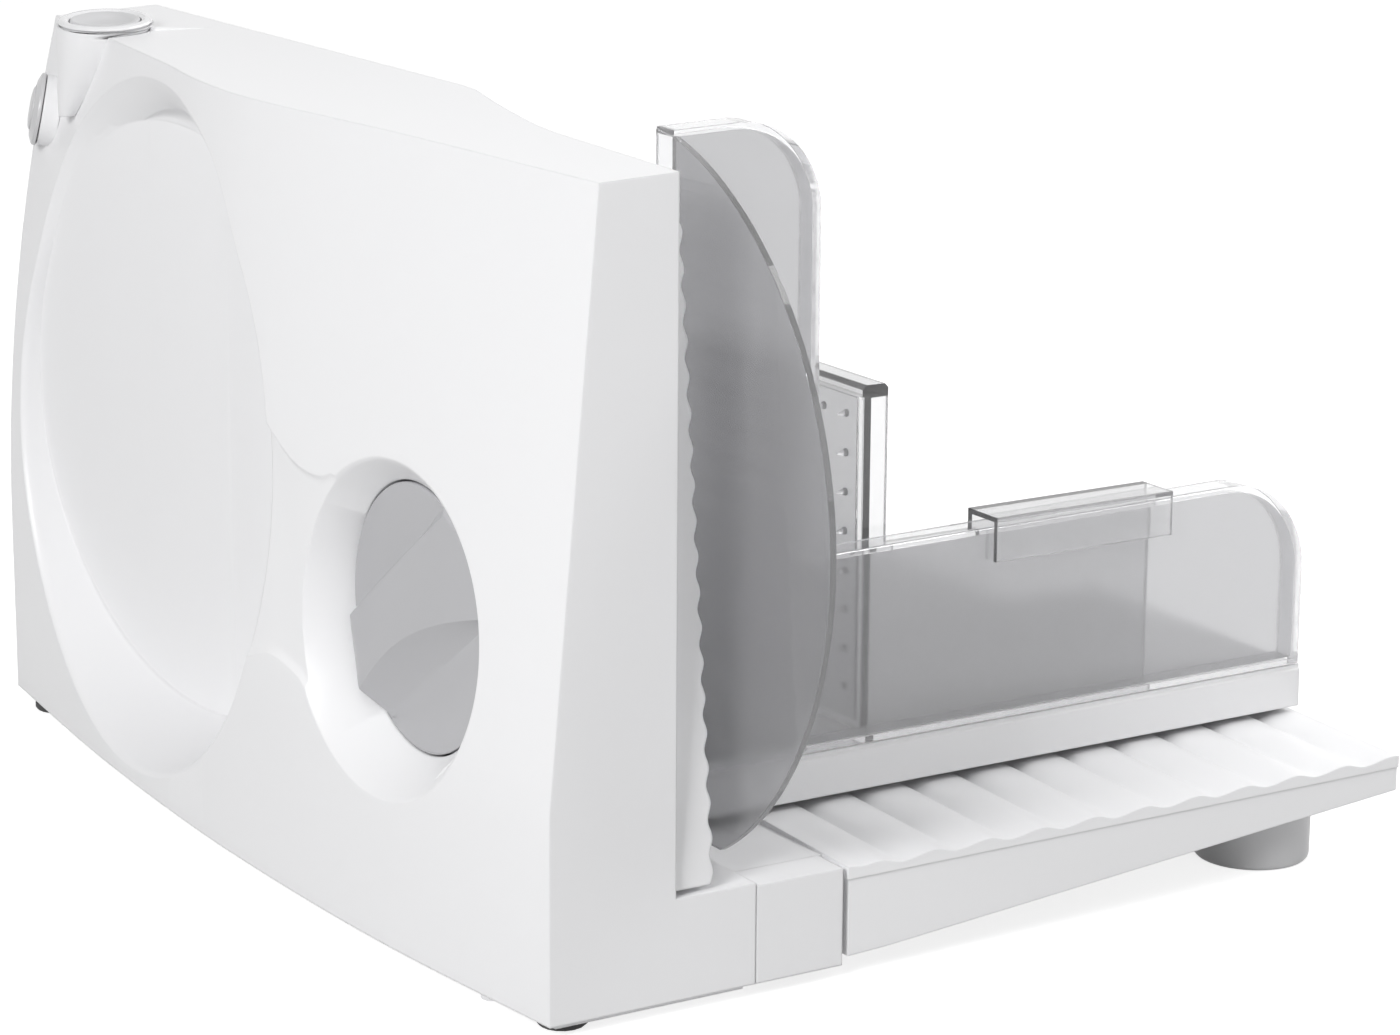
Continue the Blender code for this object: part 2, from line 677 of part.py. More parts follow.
def make_deck():
    xs = [APRON_X, APRON_X + 3]
    k = 0
    while WAVE_X + (k // 4) * WAVE < DECK_X1:
        x = WAVE_X + (k // 4 + (0.0, 0.22, 0.4, 0.7)[k % 4]) * WAVE
        if x < DECK_X1 - 0.6:
            xs.append(x)
        k += 1
    xs.append(DECK_X1)
    under = deck_under()
    rings = []
    for y in (0, 24, 46, 58, DECK_Y1):
        ring = [(x, y, deck_height(x, y)) for x in xs]
        ring.append((DECK_X1, y, under - 0.2))
        ring.append((APRON_X, y, under - 0.2))
        rings.append(ring)
    deck = loft("deck", rings)
    join(deck, box("left", (DECK_X0, DECK_Y0, under - 0.1), (APRON_X + 1.7, DECK_Y1 - 0.1, 31.3)))
    join(deck, prism("sides", deck_outline(0.4), "Z", 5.6, under + 1.1))
    cut(deck, prism("inside", deck_outline(2.8), "Z", -5, under))
    rise = (20.9 - 5.6) / (DECK_X1 - APRON_X)
    below = [(40, -20), (320, -20), (320, 5.6 + rise * (320 - APRON_X)), (APRON_X + 12.9, 6.6),
             (APRON_X - 5, 5.8), (APRON_X - 5, 10), (40, 10)]
    cut(deck, prism("below", below, "Y", -10, 400))
    for y in DECK_FEET:
        join(deck, boss("Z", (DFOOT_X, y), DFOOT_R + 2.4, 22.5, under + 0.6, SEG_MID))
        tube_cut(deck, "Z", (DFOOT_X, y), DFOOT_R + 0.2, 10, under - 0.2, SEG_MID)
    lo = (SLOT_X - SLOT_W / 2, 70, 10)
    cut(deck, box("guide", lo, (SLOT_X + SLOT_W / 2, DECK_Y1 - 7, 60)))
    for y in DECK_SCREWS:
        tube_cut(deck, "X", (y, DECK_SCREW_Z), 2.2, DECK_X0 - 3, DECK_X0 + 7, SEG_SMALL)
    return deck


DECK_FEET = (25.0, DECK_Y1 - 25)


def make_deck_foot(name, y):
    top = deck_under() - 0.2 - GAP
    return turned(name, "Z", (DFOOT_X, y), [(DFOOT_R - 1.2, 0.0), (DFOOT_R, 1.5), (DFOOT_R, top)])


def ridge_profile():
    # Offsets across the ridge from the crease to the step, with the height of each
    return [(-16.0, 0.0), (-13.0, 0.9), (-8.0, 2.3), (-2.0, 3.4), (8.0, 4.3), (18.5, RIDGE_H), (20.5, 0.0)]


def make_dial():
    # One disc with its hub; the pinch ridge slants across the face
    dial = turned("thickness_dial", "X", (DIAL_Y, DIAL_Z),
                  [(DIAL_R, DIAL_X), (DIAL_R, DIAL_X + DIAL_T)], 40)
    join(dial, turned("hub", "X", (DIAL_Y, DIAL_Z), [(HUB_R, DIAL_X + 1), (HUB_R, 17.4)], SEG_FIT))
    join(dial, turned("shaft", "X", (DIAL_Y, DIAL_Z), [(6.0, 17), (6.0, 40.0)], SEG_FIT))
    along = Vector((0.0, 0.81, -0.586)).normalized()
    across = Vector((0.0, 0.586, 0.81)).normalized()
    centre = Vector((0.0, DIAL_Y, DIAL_Z))
    rings = []
    for s in (-45.0, 45.0):
        ring = []
        for off, h in ridge_profile():
            p = centre + along * s + across * off
            ring.append((DIAL_X - h, p.y, p.z))
        for off in (20.5, -16.0):
            p = centre + along * s + across * off
            ring.append((DIAL_X + 2.0, p.y, p.z))
        rings.append(ring)
    ridge = loft("ridge", rings)
    keep(ridge, turned("round", "X", (DIAL_Y, DIAL_Z), [(DIAL_R, -10), (DIAL_R, DIAL_X + 3)], 40))
    join(dial, ridge)
    return moved_origin(dial, (DIAL_X, DIAL_Y, DIAL_Z))


def make_dial_retainer():
    ring = turned("dial_retainer", "X", (DIAL_Y, DIAL_Z), [(12.0, 17.7), (12.0, 19.2)], SEG_MID)
    tube_cut(ring, "X", (DIAL_Y, DIAL_Z), 6.0 + RUN, 10, 30, SEG_FIT)
    return moved_origin(ring, (DIAL_X, DIAL_Y, DIAL_Z))


def helix_bar(name, axis_point, x0, lead, turns, r0, r1, width, start, seg, hand=1):
    # A bar of square section wound about an axis along X
    rings = []
    count = int(seg * turns)
    for i in range(count + 1):
        ang = start + hand * 2 * pi * i / seg
        x = x0 + lead * i / seg
        ring = []
        for r, dx in ((r0, -width / 2), (r1, -width / 2), (r1, width / 2), (r0, width / 2)):
            ring.append((x + dx, axis_point[0] + r * cos(ang), axis_point[1] + r * sin(ang)))
        rings.append(ring)
    return loft(name, rings)


def cam_x0():
    return 19.5


def follower_x():
    return cam_x0() + 3.8 + STOP_OPEN


def make_dial_cam():
    x0 = cam_x0()
    cam = turned("dial_cam", "X", (DIAL_Y, DIAL_Z), [(CAM_R, x0), (CAM_R, x0 + CAM_L - 1.7)])
    tube_cut(cam, "X", (DIAL_Y, DIAL_Z), 6.0 + RUN, 10, 60, SEG_FIT)
    travel = STOP_OPEN + STOP_CLOSE
    spare = 0.9
    lead_angle = 2 * pi * (STOP_OPEN + spare) / CAM_LEAD
    groove = helix_bar("groove", (DIAL_Y, DIAL_Z), follower_x() - STOP_OPEN - spare, CAM_LEAD,
                       (travel + spare + 0.4) / CAM_LEAD + 0.12, CAM_R - GROOVE_D, CAM_R + 3, GROOVE_W,
                       pi / 2 - lead_angle, SEG_MID)
    cut(cam, groove)
    return moved_origin(cam, (DIAL_X, DIAL_Y, DIAL_Z))


def make_stop_plate():
    z = STOP_Z0 - 3
    outline = [(STOP_X - 2.5, STOP_Z1 + 5), (STOP_X - 2.5, z)]
    step = RIB_PITCH / 4
    while z < STOP_Z1 + 5:
        outline.append((STOP_X + RIB_A * cos(2 * pi * z / RIB_PITCH), z))
        z += step
    plate = prism("stop_plate", outline, "Y", -5, BLADE_Y + 12, (STOP_X, BLADE_Y, BLADE_Z))
    keep(plate, prism("shape", stop_outline(0.0), "X", STOP_X - 5, STOP_X + 5))
    x0 = STOP_X - STOP_SKIRT
    near = [(1.8, STOP_Z0), (1.8, 41.0), (19.2, STOP_Z1), (21.3, STOP_Z1), (3.9, 41.0), (3.9, STOP_Z0)]
    join(plate, prism("near_skirt", near, "X", x0, STOP_X - 1.5))
    join(plate, box("top_skirt", (x0, 19.4, STOP_Z1 - 2), (STOP_X - 1.5, BLADE_Y - 113, STOP_Z1)))
    join(plate, box("low_skirt", (x0, 2.1, STOP_Z0), (STOP_X - 1.5, BLADE_Y - 120, STOP_Z0 + 2)))
    for y, z in CARRIER_SCREWS:
        tube_cut(plate, "X", (y, z), 1.55, STOP_X - 10, STOP_X - 1.4, SEG_SMALL)
    return plate


CARRIER_SCREWS = [(62.0, 118.0), (102.0, 68.0)]


def make_stop_carrier():
    back = STOP_X - 2.5 - GAP
    front = back - 3.0
    outline = [(66, DIAL_Z - ROD_DOWN - 6), (98, DIAL_Z - ROD_DOWN - 6), (108, 62), (108, 124),
               (98, DIAL_Z + ROD_UP + 6), (66, DIAL_Z + ROD_UP + 6), (56, 124), (56, 62)]
    body = prism("stop_carrier", outline, "X", front, back)
    tube_cut(body, "X", (DIAL_Y, DIAL_Z), CAM_R + 2.0, front - 5, back + 5, SEG_MID)
    for z in (DIAL_Z + ROD_UP, DIAL_Z - ROD_DOWN):
        join(body, boss("X", (DIAL_Y, z), ROD_R + 2.5, 22.5, front + 1, 16))
        tube_cut(body, "X", (DIAL_Y, z), ROD_R + RUN, 20, 60)
    px = follower_x()
    top = DIAL_Z + CAM_R
    join(body, box("arm", (px - 3, DIAL_Y - 4, top + 2.5), (front + 1, DIAL_Y + 4, top + 6.5)))
    pin = turned("pin", "Z", (px, DIAL_Y), [(PIN_R, top - GROOVE_D + 0.5), (PIN_R, top + 4)], 12)
    join(body, pin)
    for y, z in CARRIER_SCREWS:
        tube_cut(body, "X", (y, z), 1.7, front - 5, back + 5, SEG_SMALL)
    return moved_origin(body, (STOP_X, BLADE_Y, BLADE_Z))


def make_rod(name, z):
    return turned(name, "X", (DIAL_Y, z), [(ROD_R, 6.0), (ROD_R, 41.5), (ROD_R - 0.6, 42.1)], 16)


def gear_outline(clear):
    pitch_r = TEETH * MODULE / 2
    pts = []
    for k in range(TEETH):
        a = 2 * pi * k / TEETH
        tooth = pi / TEETH
        half_p = tooth / 2 - clear / pitch_r
        pts.append((pitch_r - 1.4 * MODULE + 0.3, a - tooth * 0.78))
        pts.append((pitch_r + 0.8 * MODULE, a - half_p * 0.55))
        pts.append((pitch_r + 0.8 * MODULE, a + half_p * 0.55))
        pts.append((pitch_r - 1.4 * MODULE + 0.3, a + tooth * 0.78))
    return pts


def make_blade_gear():
    lead_angle = atan2(MODULE / 2, WORM_R)
    pitch_r = TEETH * MODULE / 2
    mid = (GEAR_X0 + GEAR_X1) / 2
    pts = gear_outline(0.15)
    rings = []
    for x in (GEAR_X0, GEAR_X1):
        twist = -(x - mid) * tan(lead_angle) / pitch_r
        ring = []
        for r, a in pts:
            ring.append((x, BLADE_Y + r * cos(a + twist), BLADE_Z + r * sin(a + twist)))
        rings.append(ring)
    gear = loft("blade_gear", rings)
    hub = turned("hub", "X", (BLADE_Y, BLADE_Z), [(HUB_OUT_R, GEAR_X0 + 0.5), (HUB_OUT_R, BLADE_X - GAP),
                                                 (9.8, BLADE_X - GAP), (9.8, BLADE_X + BLADE_T + 0.1)])
    join(gear, hub)
    tube_cut(gear, "X", (BLADE_Y, BLADE_Z), AXLE_R + RUN, 30, 53, SEG_FIT)
    tube_cut(gear, "X", (BLADE_Y, BLADE_Z), 3.1, 50, 70)
    return moved_origin(gear, (BLADE_X, BLADE_Y, BLADE_Z))


def make_blade_axle():
    return turned("blade_axle", "X", (BLADE_Y, BLADE_Z), [(AXLE_R, 32.0), (AXLE_R, 52.6)], SEG_FIT)


def make_blade():
    x0 = BLADE_X
    x1 = BLADE_X + BLADE_T
    disc = turned("blade", "X", (BLADE_Y, BLADE_Z), [(BLADE_R - 4.5, x0), (BLADE_R, x0 + 0.15),
                                                    (BLADE_R - 4.5, x1)], 56)
    tube_cut(disc, "X", (BLADE_Y, BLADE_Z), 10.0, 50, 70, SEG_MID)
    return moved_origin(disc, (BLADE_X, BLADE_Y, BLADE_Z))


def make_blade_lock():
    x1 = BLADE_X + BLADE_T + GAP
    profile = [(3.0, 54.0), (3.0, x1), (15.0, x1), (15.0, x1 + 0.9), (13.8, x1 + 1.6)]
    lock = turned("blade_lock", "X", (BLADE_Y, BLADE_Z), profile)
    cut(lock, box("slot", (x1 + 0.8, BLADE_Y - 9, BLADE_Z - 1.2), (x1 + 4, BLADE_Y + 9, BLADE_Z + 1.2)))
    return moved_origin(lock, (BLADE_X, BLADE_Y, BLADE_Z))


def worm_z():
    return BLADE_Z - TEETH * MODULE / 2 - WORM_R


def worm_x():
    return (GEAR_X0 + GEAR_X1) / 2


def make_worm_shaft():
    lead = pi * MODULE
    cz = worm_z()
    cx = worm_x()
    y0 = BLADE_Y - 7.6
    y1 = BLADE_Y + 7.6
    near = BLADE_Y - 22.0
    profile = [(2.0, near), (2.0, near + 10), (3.55, near + 10), (3.55, BLADE_Y + 14), (2.5, BLADE_Y + 14),
               (2.5, MOTOR_Y0 + 7)]
    shaft = turned("worm_shaft", "Y", (cx, cz), profile, 24)
    seg = 12
    turns = 3.5
    rings = []
    count = int(seg * turns)
    start = pi / 2 - 2 * pi * (BLADE_Y + lead / 2 - (y0 + 1.0)) / lead
    for i in range(count + 1):
        ang = start + 2 * pi * i / seg
        y = y0 + 1.0 + lead * i / seg
        if y > y1:
            break
        ring = []
        for r, dy in ((3.0, -0.95), (WORM_R + 0.9, -0.3), (WORM_R + 0.9, 0.3), (3.0, 0.95)):
            ring.append((cx + r * cos(ang), y + dy, cz + r * sin(ang)))
        rings.append(ring)
    join(shaft, loft("thread", rings))
    return moved_origin(shaft, (cx, BLADE_Y, cz))


def make_worm_bracket():
    cz = worm_z()
    cx = worm_x()
    y0 = BLADE_Y - 22.0
    body = box("worm_bracket", (37.6, y0, cz - 8), (54.9, y0 + 6, cz + 8))
    join(body, box("flange", (51.9, y0, 72.0), (54.9, y0 + 16, 98.0)))
    tube_cut(body, "Y", (cx, cz), 3.5 + RUN, y0 - 6, y0 + 14)
    for y, z in WORM_SCREWS:
        tube_cut(body, "X", (y, z), 1.7, 45, 60, SEG_SMALL)
    return body


def make_worm_bush():
    y0 = BLADE_Y - 22.0
    bush = turned("worm_bush", "Y", (worm_x(), worm_z()), [(3.5, y0), (3.5, y0 + 6)], 16)
    tube_cut(bush, "Y", (worm_x(), worm_z()), 2.0 + RUN, y0 - 6, y0 + 14, 24)
    return bush


def make_motor_bracket():
    cz = worm_z()
    y0 = MOTOR_Y0 - 3.0
    y1 = MOTOR_Y0 - 0.6
    body = box("motor_bracket", (29.0, y0, cz - 19), (53.9, y1, cz + 19))
    join(body, box("flange", (51.5, y0 - 14, 62.0), (53.9, y1, 108.0)))
    tube_cut(body, "Y", (worm_x(), cz), 7.2, y0 - 7, y1 + 6)
    for y, z in MOTOR_SCREWS:
        tube_cut(body, "X", (y, z), 1.7, 45, 60, SEG_SMALL)
    return body


def flat_round(half_w, r, centre, seg=24):
    pts = []
    for i in range(seg):
        a = 2 * pi * i / seg
        x = max(-half_w, min(half_w, r * cos(a)))
        pts.append((centre[0] + x, centre[1] + r * sin(a)))
    return pts


def make_motor_can():
    centre = (worm_x(), worm_z())
    outer = flat_round(MOTOR_W / 2, MOTOR_H / 2, centre)
    inner = flat_round(MOTOR_W / 2 - 1.5, MOTOR_H / 2 - 1.5, centre)
    can = prism("motor_can", outer, "Y", MOTOR_Y0, MOTOR_Y1)
    cut(can, prism("inside", inner, "Y", MOTOR_Y0 + 1.5, MOTOR_Y1 + 5))
    join(can, turned("nose", "Y", centre, [(7.0, MOTOR_Y0 - 4), (7.0, MOTOR_Y0 + 1)], 16))
    tube_cut(can, "Y", centre, 2.5 + RUN, MOTOR_Y0 - 15, MOTOR_Y0 + 15, 24)
    return can


def make_motor_cap():
    centre = (worm_x(), worm_z())
    outer = flat_round(MOTOR_W / 2, MOTOR_H / 2, centre)
    inner = flat_round(MOTOR_W / 2 - 1.8, MOTOR_H / 2 - 1.8, centre)
    cap = prism("motor_end_cap", outer, "Y", MOTOR_Y1 + GAP, MOTOR_Y1 + 3)
    join(cap, prism("plug", inner, "Y", MOTOR_Y1 - 3, MOTOR_Y1 + 1))
    join(cap, turned("seat", "Y", centre, [(6.0, MOTOR_Y1 + 2), (6.0, MOTOR_Y1 + 6)], 16))
    return cap


def make_board():
    y0 = HOUSE_L - 66.0
    board = box("control_board", (46.0, y0, 118.0), (47.6, y0 + 54, 174.0))
    for lo, hi in (((40.0, 8.0, 132.0), (46.5, 20.0, 150.0)), ((36.0, 30.0, 124.0), (46.5, 42.0, 144.0)),
                   ((43.0, 24.0, 154.0), (46.5, 48.0, 160.0))):
        join(board, box("block", (lo[0], y0 + lo[1], lo[2]), (hi[0], y0 + hi[1], hi[2])))
    for y, z in BOARD_POSTS:
        tube_cut(board, "X", (y, z), 1.2, 40, 50, SEG_SMALL)
    return board


def make_cord_gland():
    y0 = HOUSE_L - 5.5
    y1 = HOUSE_L + GAP
    profile = [(GLAND_R, y0), (GLAND_R, y1), (GLAND_R + 2, y1), (GLAND_R + 1.4, y1 + 2.7)]
    gland = turned("cord_gland", "Y", (GLAND_X, GLAND_Z), profile, 16)
    tube_cut(gland, "Y", (GLAND_X, GLAND_Z), 3.3, y0 - 5, y1 + 10)
    return gland


def arc(cx, cz, r, a0, a1, count):
    pts = []
    for i in range(count + 1):
        a = (a0 + (a1 - a0) * i / count) * pi / 180
        pts.append((cx + r * cos(a), cz + r * sin(a)))
    return pts


def wall_outline(d):
    # The wall in the XZ plane, drawn in by d
    x0 = GUARD_X + 0.35 + d
    x2 = TALL_X - d
    x3 = LOW_X - d
    z0 = BASE_Z1 + GAP + d
    pts = [(x0, z0), (x3, z0)]
    pts += arc(x3 - LOW_R + d, LOW_Z + 0.8 - LOW_R, LOW_R - d, 0, 90, 10)
    pts += [(x2 + 0.0, LOW_Z - 0.8 - d)]
    pts += arc(x2 - TALL_R + d, TALL_Z - TALL_R, TALL_R - d, 0, 90, 10)
    pts += [(x0, TALL_Z - d - 0.6)]
    return pts


def guard_outline():
    pts = []
    low = BASE_Z0 + 0.6
    a0 = atan2(low - GUARD_Z, -sqrt(GUARD_R**2 - (low - GUARD_Z) ** 2))
    a1 = atan2(sqrt(GUARD_R**2 - (WALL_Y - GUARD_Y) ** 2), WALL_Y - GUARD_Y)
    if a0 < 0:
        a0 += 2 * pi
    for i in range(33):
        a = a0 + (a1 - a0) * i / 32
        pts.append((GUARD_Y + GUARD_R * cos(a), GUARD_Z + GUARD_R * sin(a)))
    pts.append((WALL_Y + WALL_D - 0.3, TALL_Z - 1.3))
    pts.append((WALL_Y + WALL_D - 0.3, low))
    return pts


def make_carriage_wall():
    y1 = WALL_Y + WALL_D
    wall = prism("carriage_wall", wall_outline(0.0), "Y", WALL_Y, y1, (0, WALL_Y, 0))
    cut(wall, prism("inside", wall_outline(CLEAR_T), "Y", WALL_Y + CLEAR_T, y1 + 5))
    join(wall, prism("guard", guard_outline(), "X", GUARD_X, GUARD_X + CLEAR_T))
    for x in (100.0, 250.0):
        join(wall, boss("Z", (x, WALL_Y + 5), 2.0, BASE_Z1 - 6, BASE_Z1 + 1.5))
    return wall


def make_carriage_base():
    base = box("carriage_base", (BASE_X0, WALL_Y, BASE_Z0), (BASE_X1, BASE_Y1, BASE_Z1), (0, WALL_Y, 0))
    lo = (BASE_X0 + 2.5, WALL_Y + 2.5, BASE_Z0 - 5)
    inside = box("inside", lo, (BASE_X1 - 2.5, BASE_Y1 - 2.5, BASE_Z1 - 2.5))
    for x in (100.0, 250.0):
        cut(inside, boss("Z", (x, WALL_Y + 5), 4.0, BASE_Z0 + 2, BASE_Z1))
    cut(inside, box("seat", (SLOT_X - 7, 72, BASE_Z0 - 6), (SLOT_X + 7, 146, BASE_Z1)))
    cut(base, inside)
    for x in (100.0, 250.0):
        tube_cut(base, "Z", (x, WALL_Y + 5), 2.1, BASE_Z1 - 6.4, BASE_Z1 + 3)
    for y in SHOE_SCREWS:
        tube_cut(base, "Z", (SLOT_X, y), 1.55, BASE_Z0 - 5, BASE_Z0 + 9, SEG_SMALL)
    return base


SHOE_SCREWS = (84.0, 134.0)


def make_guide_shoe():
    under = deck_under()
    half = SLOT_W / 2 - 0.2
    top = BASE_Z0 - GAP
    shoe = box("guide_shoe", (SLOT_X - half, 76, under - 1), (SLOT_X + half, 142, top), (0, WALL_Y, 0))
    join(shoe, box("plate", (SLOT_X - 11, 76, under - 3.3), (SLOT_X + 11, 142, under - GAP)))
    for y in SHOE_SCREWS:
        tube_cut(shoe, "Z", (SLOT_X, y), 1.7, 10, 50, SEG_SMALL)
    return shoe


def make_remnant_holder():
    z0 = BASE_Z1 + 0.6
    x1 = HOLD_X + HOLD_T
    body = box("remnant_holder", (HOLD_X, HOLD_Y0, z0), (x1, HOLD_Y1, HOLD_TOP - 2), (HOLD_X, WALL_Y, 0))
    cap = [(HOLD_X - 0.2, HOLD_TOP - 4), (x1, HOLD_TOP - 4), (x1, HOLD_TOP - 1.2), (x1 - 1.2, HOLD_TOP),
           (HOLD_X + 1.0, HOLD_TOP), (HOLD_X - 0.2, HOLD_TOP - 1.2)]
    join(body, prism("cap", cap, "Y", HOLD_Y0, HOLD_Y1))
    cut(body, box("inside", (HOLD_X + 3.5, HOLD_Y0 + 2, z0 - 5), (x1 + 5, HOLD_Y1 - 2, HOLD_TOP - 4)))
    join(body, box("slide", (HOLD_X + 0.5, HOLD_Y0, z0), (SLIDE_X1, HOLD_Y0 + 2, SLIDE_TOP)))
    top = LOW_Z + 1.6
    join(body, box("back", (HOOK_X0, HOLD_Y0, SLIDE_TOP - 1), (HOOK_X1, HOLD_Y0 + 2, top + 1.5)))
    join(body, box("top", (HOOK_X0, WALL_Y - 2.8, top), (HOOK_X1, HOLD_Y0 + 1, top + 1.5)))
    join(body, box("flap", (HOOK_X0, WALL_Y - 2.8, top - 11.5), (HOOK_X1, WALL_Y - 1.2, top + 0.5)))
    lo, hi = spike_plate_box(-GAP)
    cut(body, box("recess", (HOLD_X - 5, lo[1], lo[2]), (HOLD_X + SPIKE_T + GAP, hi[1], hi[2])))
    return body


def spike_plate_box(less):
    lo = (HOLD_X, HOLD_Y0 + SPIKE_EDGE + less, BASE_Z1 + 0.6 + SPIKE_EDGE + less)
    hi = (HOLD_X + SPIKE_T, HOLD_Y1 - SPIKE_EDGE - less, HOLD_TOP - 4 - less)
    return lo, hi


def make_spike_plate():
    lo, hi = spike_plate_box(0.0)
    plate = box("spike_plate", lo, hi, (HOLD_X, WALL_Y, 0))
    for i in range(7):
        for j in range(8):
            centre = (HOLD_Y0 + 8.0 + i * SPIKE, HOLD_TOP - 9.2 - j * SPIKE)
            join(plate, turned("spike", "X", centre, [(0.3, HOLD_X - 3.2), (1.1, HOLD_X + 0.4)], 5))
    return plate


def material(name, color, rough, metal=0.0, clear=0.0):
    mat = bpy.data.materials.new(name)
    mat.use_nodes = True
    mat.diffuse_color = (color[0], color[1], color[2], 1.0)
    shader = mat.node_tree.nodes["Principled BSDF"]
    shader.inputs["Base Color"].default_value = (color[0], color[1], color[2], 1.0)
    shader.inputs["Roughness"].default_value = rough
    shader.inputs["Metallic"].default_value = metal
    shader.inputs["Transmission Weight"].default_value = clear
    return mat


LOOKS = {
    "white": ((0.84, 0.84, 0.85), 0.35, 0.0, 0.0),
    "grey": ((0.42, 0.42, 0.43), 0.4, 0.0, 0.0),
    "silver": ((0.62, 0.62, 0.63), 0.3, 0.6, 0.0),
    "clear": ((0.6, 0.6, 0.61), 0.12, 0.0, 0.8),
    "steel": ((0.6, 0.6, 0.61), 0.25, 1.0, 0.0),
    "rubber": ((0.09, 0.09, 0.09), 0.8, 0.0, 0.0),
    "nylon": ((0.75, 0.72, 0.62), 0.5, 0.0, 0.0),
    "bronze": ((0.5, 0.33, 0.16), 0.35, 1.0, 0.0),
    "black": ((0.05, 0.05, 0.055), 0.45, 0.0, 0.0),
    "board": ((0.06, 0.2, 0.1), 0.5, 0.0, 0.0),
}


def build_all():
    made = []

    def add(obj, look):
        made.append((obj, look))

    add(make_main_shell(), "white")
    add(make_side_panel(), "white")
    add(make_base_end_cap(), "white")
    add(make_bottom_cover(), "white")
    add(make_deck(), "white")
    add(make_deck_foot("deck_foot_near", DECK_FEET[0]), "grey")
    add(make_deck_foot("deck_foot_far", DECK_FEET[1]), "grey")
    for i in range(4):
        add(make_foot(i), "rubber")
    add(make_dial(), "silver")
    add(make_dial_retainer(), "steel")
    add(make_dial_cam(), "nylon")
    add(make_stop_plate(), "white")
    add(make_stop_carrier(), "nylon")
    add(make_rod("guide_rod_upper", DIAL_Z + ROD_UP), "steel")
    add(make_rod("guide_rod_lower", DIAL_Z - ROD_DOWN), "steel")
    back = STOP_X - 2.5 - GAP
    for k, (y, z) in enumerate(CARRIER_SCREWS):
        screw = make_screw("carrier_screw_%d" % (k + 1), "X", (y, z), back - 3.0 - 0.1, STOP_X - 1.6)
        add(moved_origin(screw, (STOP_X, BLADE_Y, BLADE_Z)), "steel")
    add(make_power_ring(), "silver")
    add(make_power_button(), "grey")
    add(make_switch("power_switch", (PB_X, PB_Y, PB_Z), power_axis(), 12.5, (11.0, 16.0, 18.0)), "black")
    add(make_safety_ring(), "white")
    add(make_safety_button(), "grey")
    add(make_switch("safety_switch", (SB_X, SB_Y, SB_Z), safety_axis(), 10.5, (8.0, 11.0, 13.0)), "black")
    add(make_blade_gear(), "nylon")
    add(make_blade_axle(), "steel")
    add(make_blade(), "steel")
    add(make_blade_lock(), "steel")
    add(make_worm_shaft(), "steel")
    add(make_worm_bracket(), "nylon")
    add(make_worm_bush(), "bronze")
    add(make_motor_bracket(), "steel")
    add(make_motor_can(), "steel")
    add(make_motor_cap(), "black")
    add(make_board(), "board")
    add(make_cord_gland(), "black")
    add(make_carriage_base(), "white")
    add(make_carriage_wall(), "clear")
    add(make_guide_shoe(), "nylon")
    add(make_remnant_holder(), "clear")
    add(make_spike_plate(), "clear")
    for k, (x, y) in enumerate(BOTTOM_SCREWS):
        add(make_screw("bottom_screw_%d" % (k + 1), "Z", (x, y), 2.6, 20.0, 1.5, 3.0, 1.4), "steel")
    for k, (y, z) in enumerate(PANEL_SCREWS):
        add(make_screw("panel_screw_%d" % (k + 1), "X", (y, z), 59.8, 46.0, 1.5, 3.0, 0.3), "steel")
    for k, y in enumerate(DECK_SCREWS):
        head = BLOCK_W - WALL - 0.2
        name = "deck_screw_%d" % (k + 1)
        add(make_screw(name, "X", (y, DECK_SCREW_Z), head, DECK_X0 + 5.9, 2.1, 4.0, 2.0), "steel")
    for k, y in enumerate(SHOE_SCREWS):
        screw = make_screw("shoe_screw_%d" % (k + 1), "Z", (SLOT_X, y), deck_under() - 3.4, BASE_Z0 + 8)
        add(moved_origin(screw, (0, WALL_Y, 0)), "steel")
    return made


def finish(made):
    lo_x = min(left_x(y, FLARE_Z) for y in STATIONS)
    hi_x = DECK_X1
    lo_y, hi_y = GUARD_Y - GUARD_R, HOUSE_L + GAP + 2.7
    root = bpy.data.objects.new("slicer", None)
    bpy.context.collection.objects.link(root)
    root.location = (-(lo_x + hi_x) / 2 * MM, -(lo_y + hi_y) / 2 * MM, 0.0)
    mats = {}
    for key, (color, rough, metal, clear) in LOOKS.items():
        mats[key] = material(key, color, rough, metal, clear)
    for obj, look in made:
        obj.parent = root
        own = mats[look].copy()
        own.name = obj.name + "_" + look
        obj.data.materials.clear()
        obj.data.materials.append(own)
        for poly in obj.data.polygons:
            poly.use_smooth = True
            poly.material_index = 0
        obj.data.set_sharp_from_angle(angle=30 * pi / 180)
        obj.data.name = obj.name


clear_scene()
finish(build_all())
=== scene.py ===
import json
from math import asin, atan2, ceil, cos, pi, radians, sin, sqrt

import bmesh
import bpy
from mathutils import Matrix, Vector

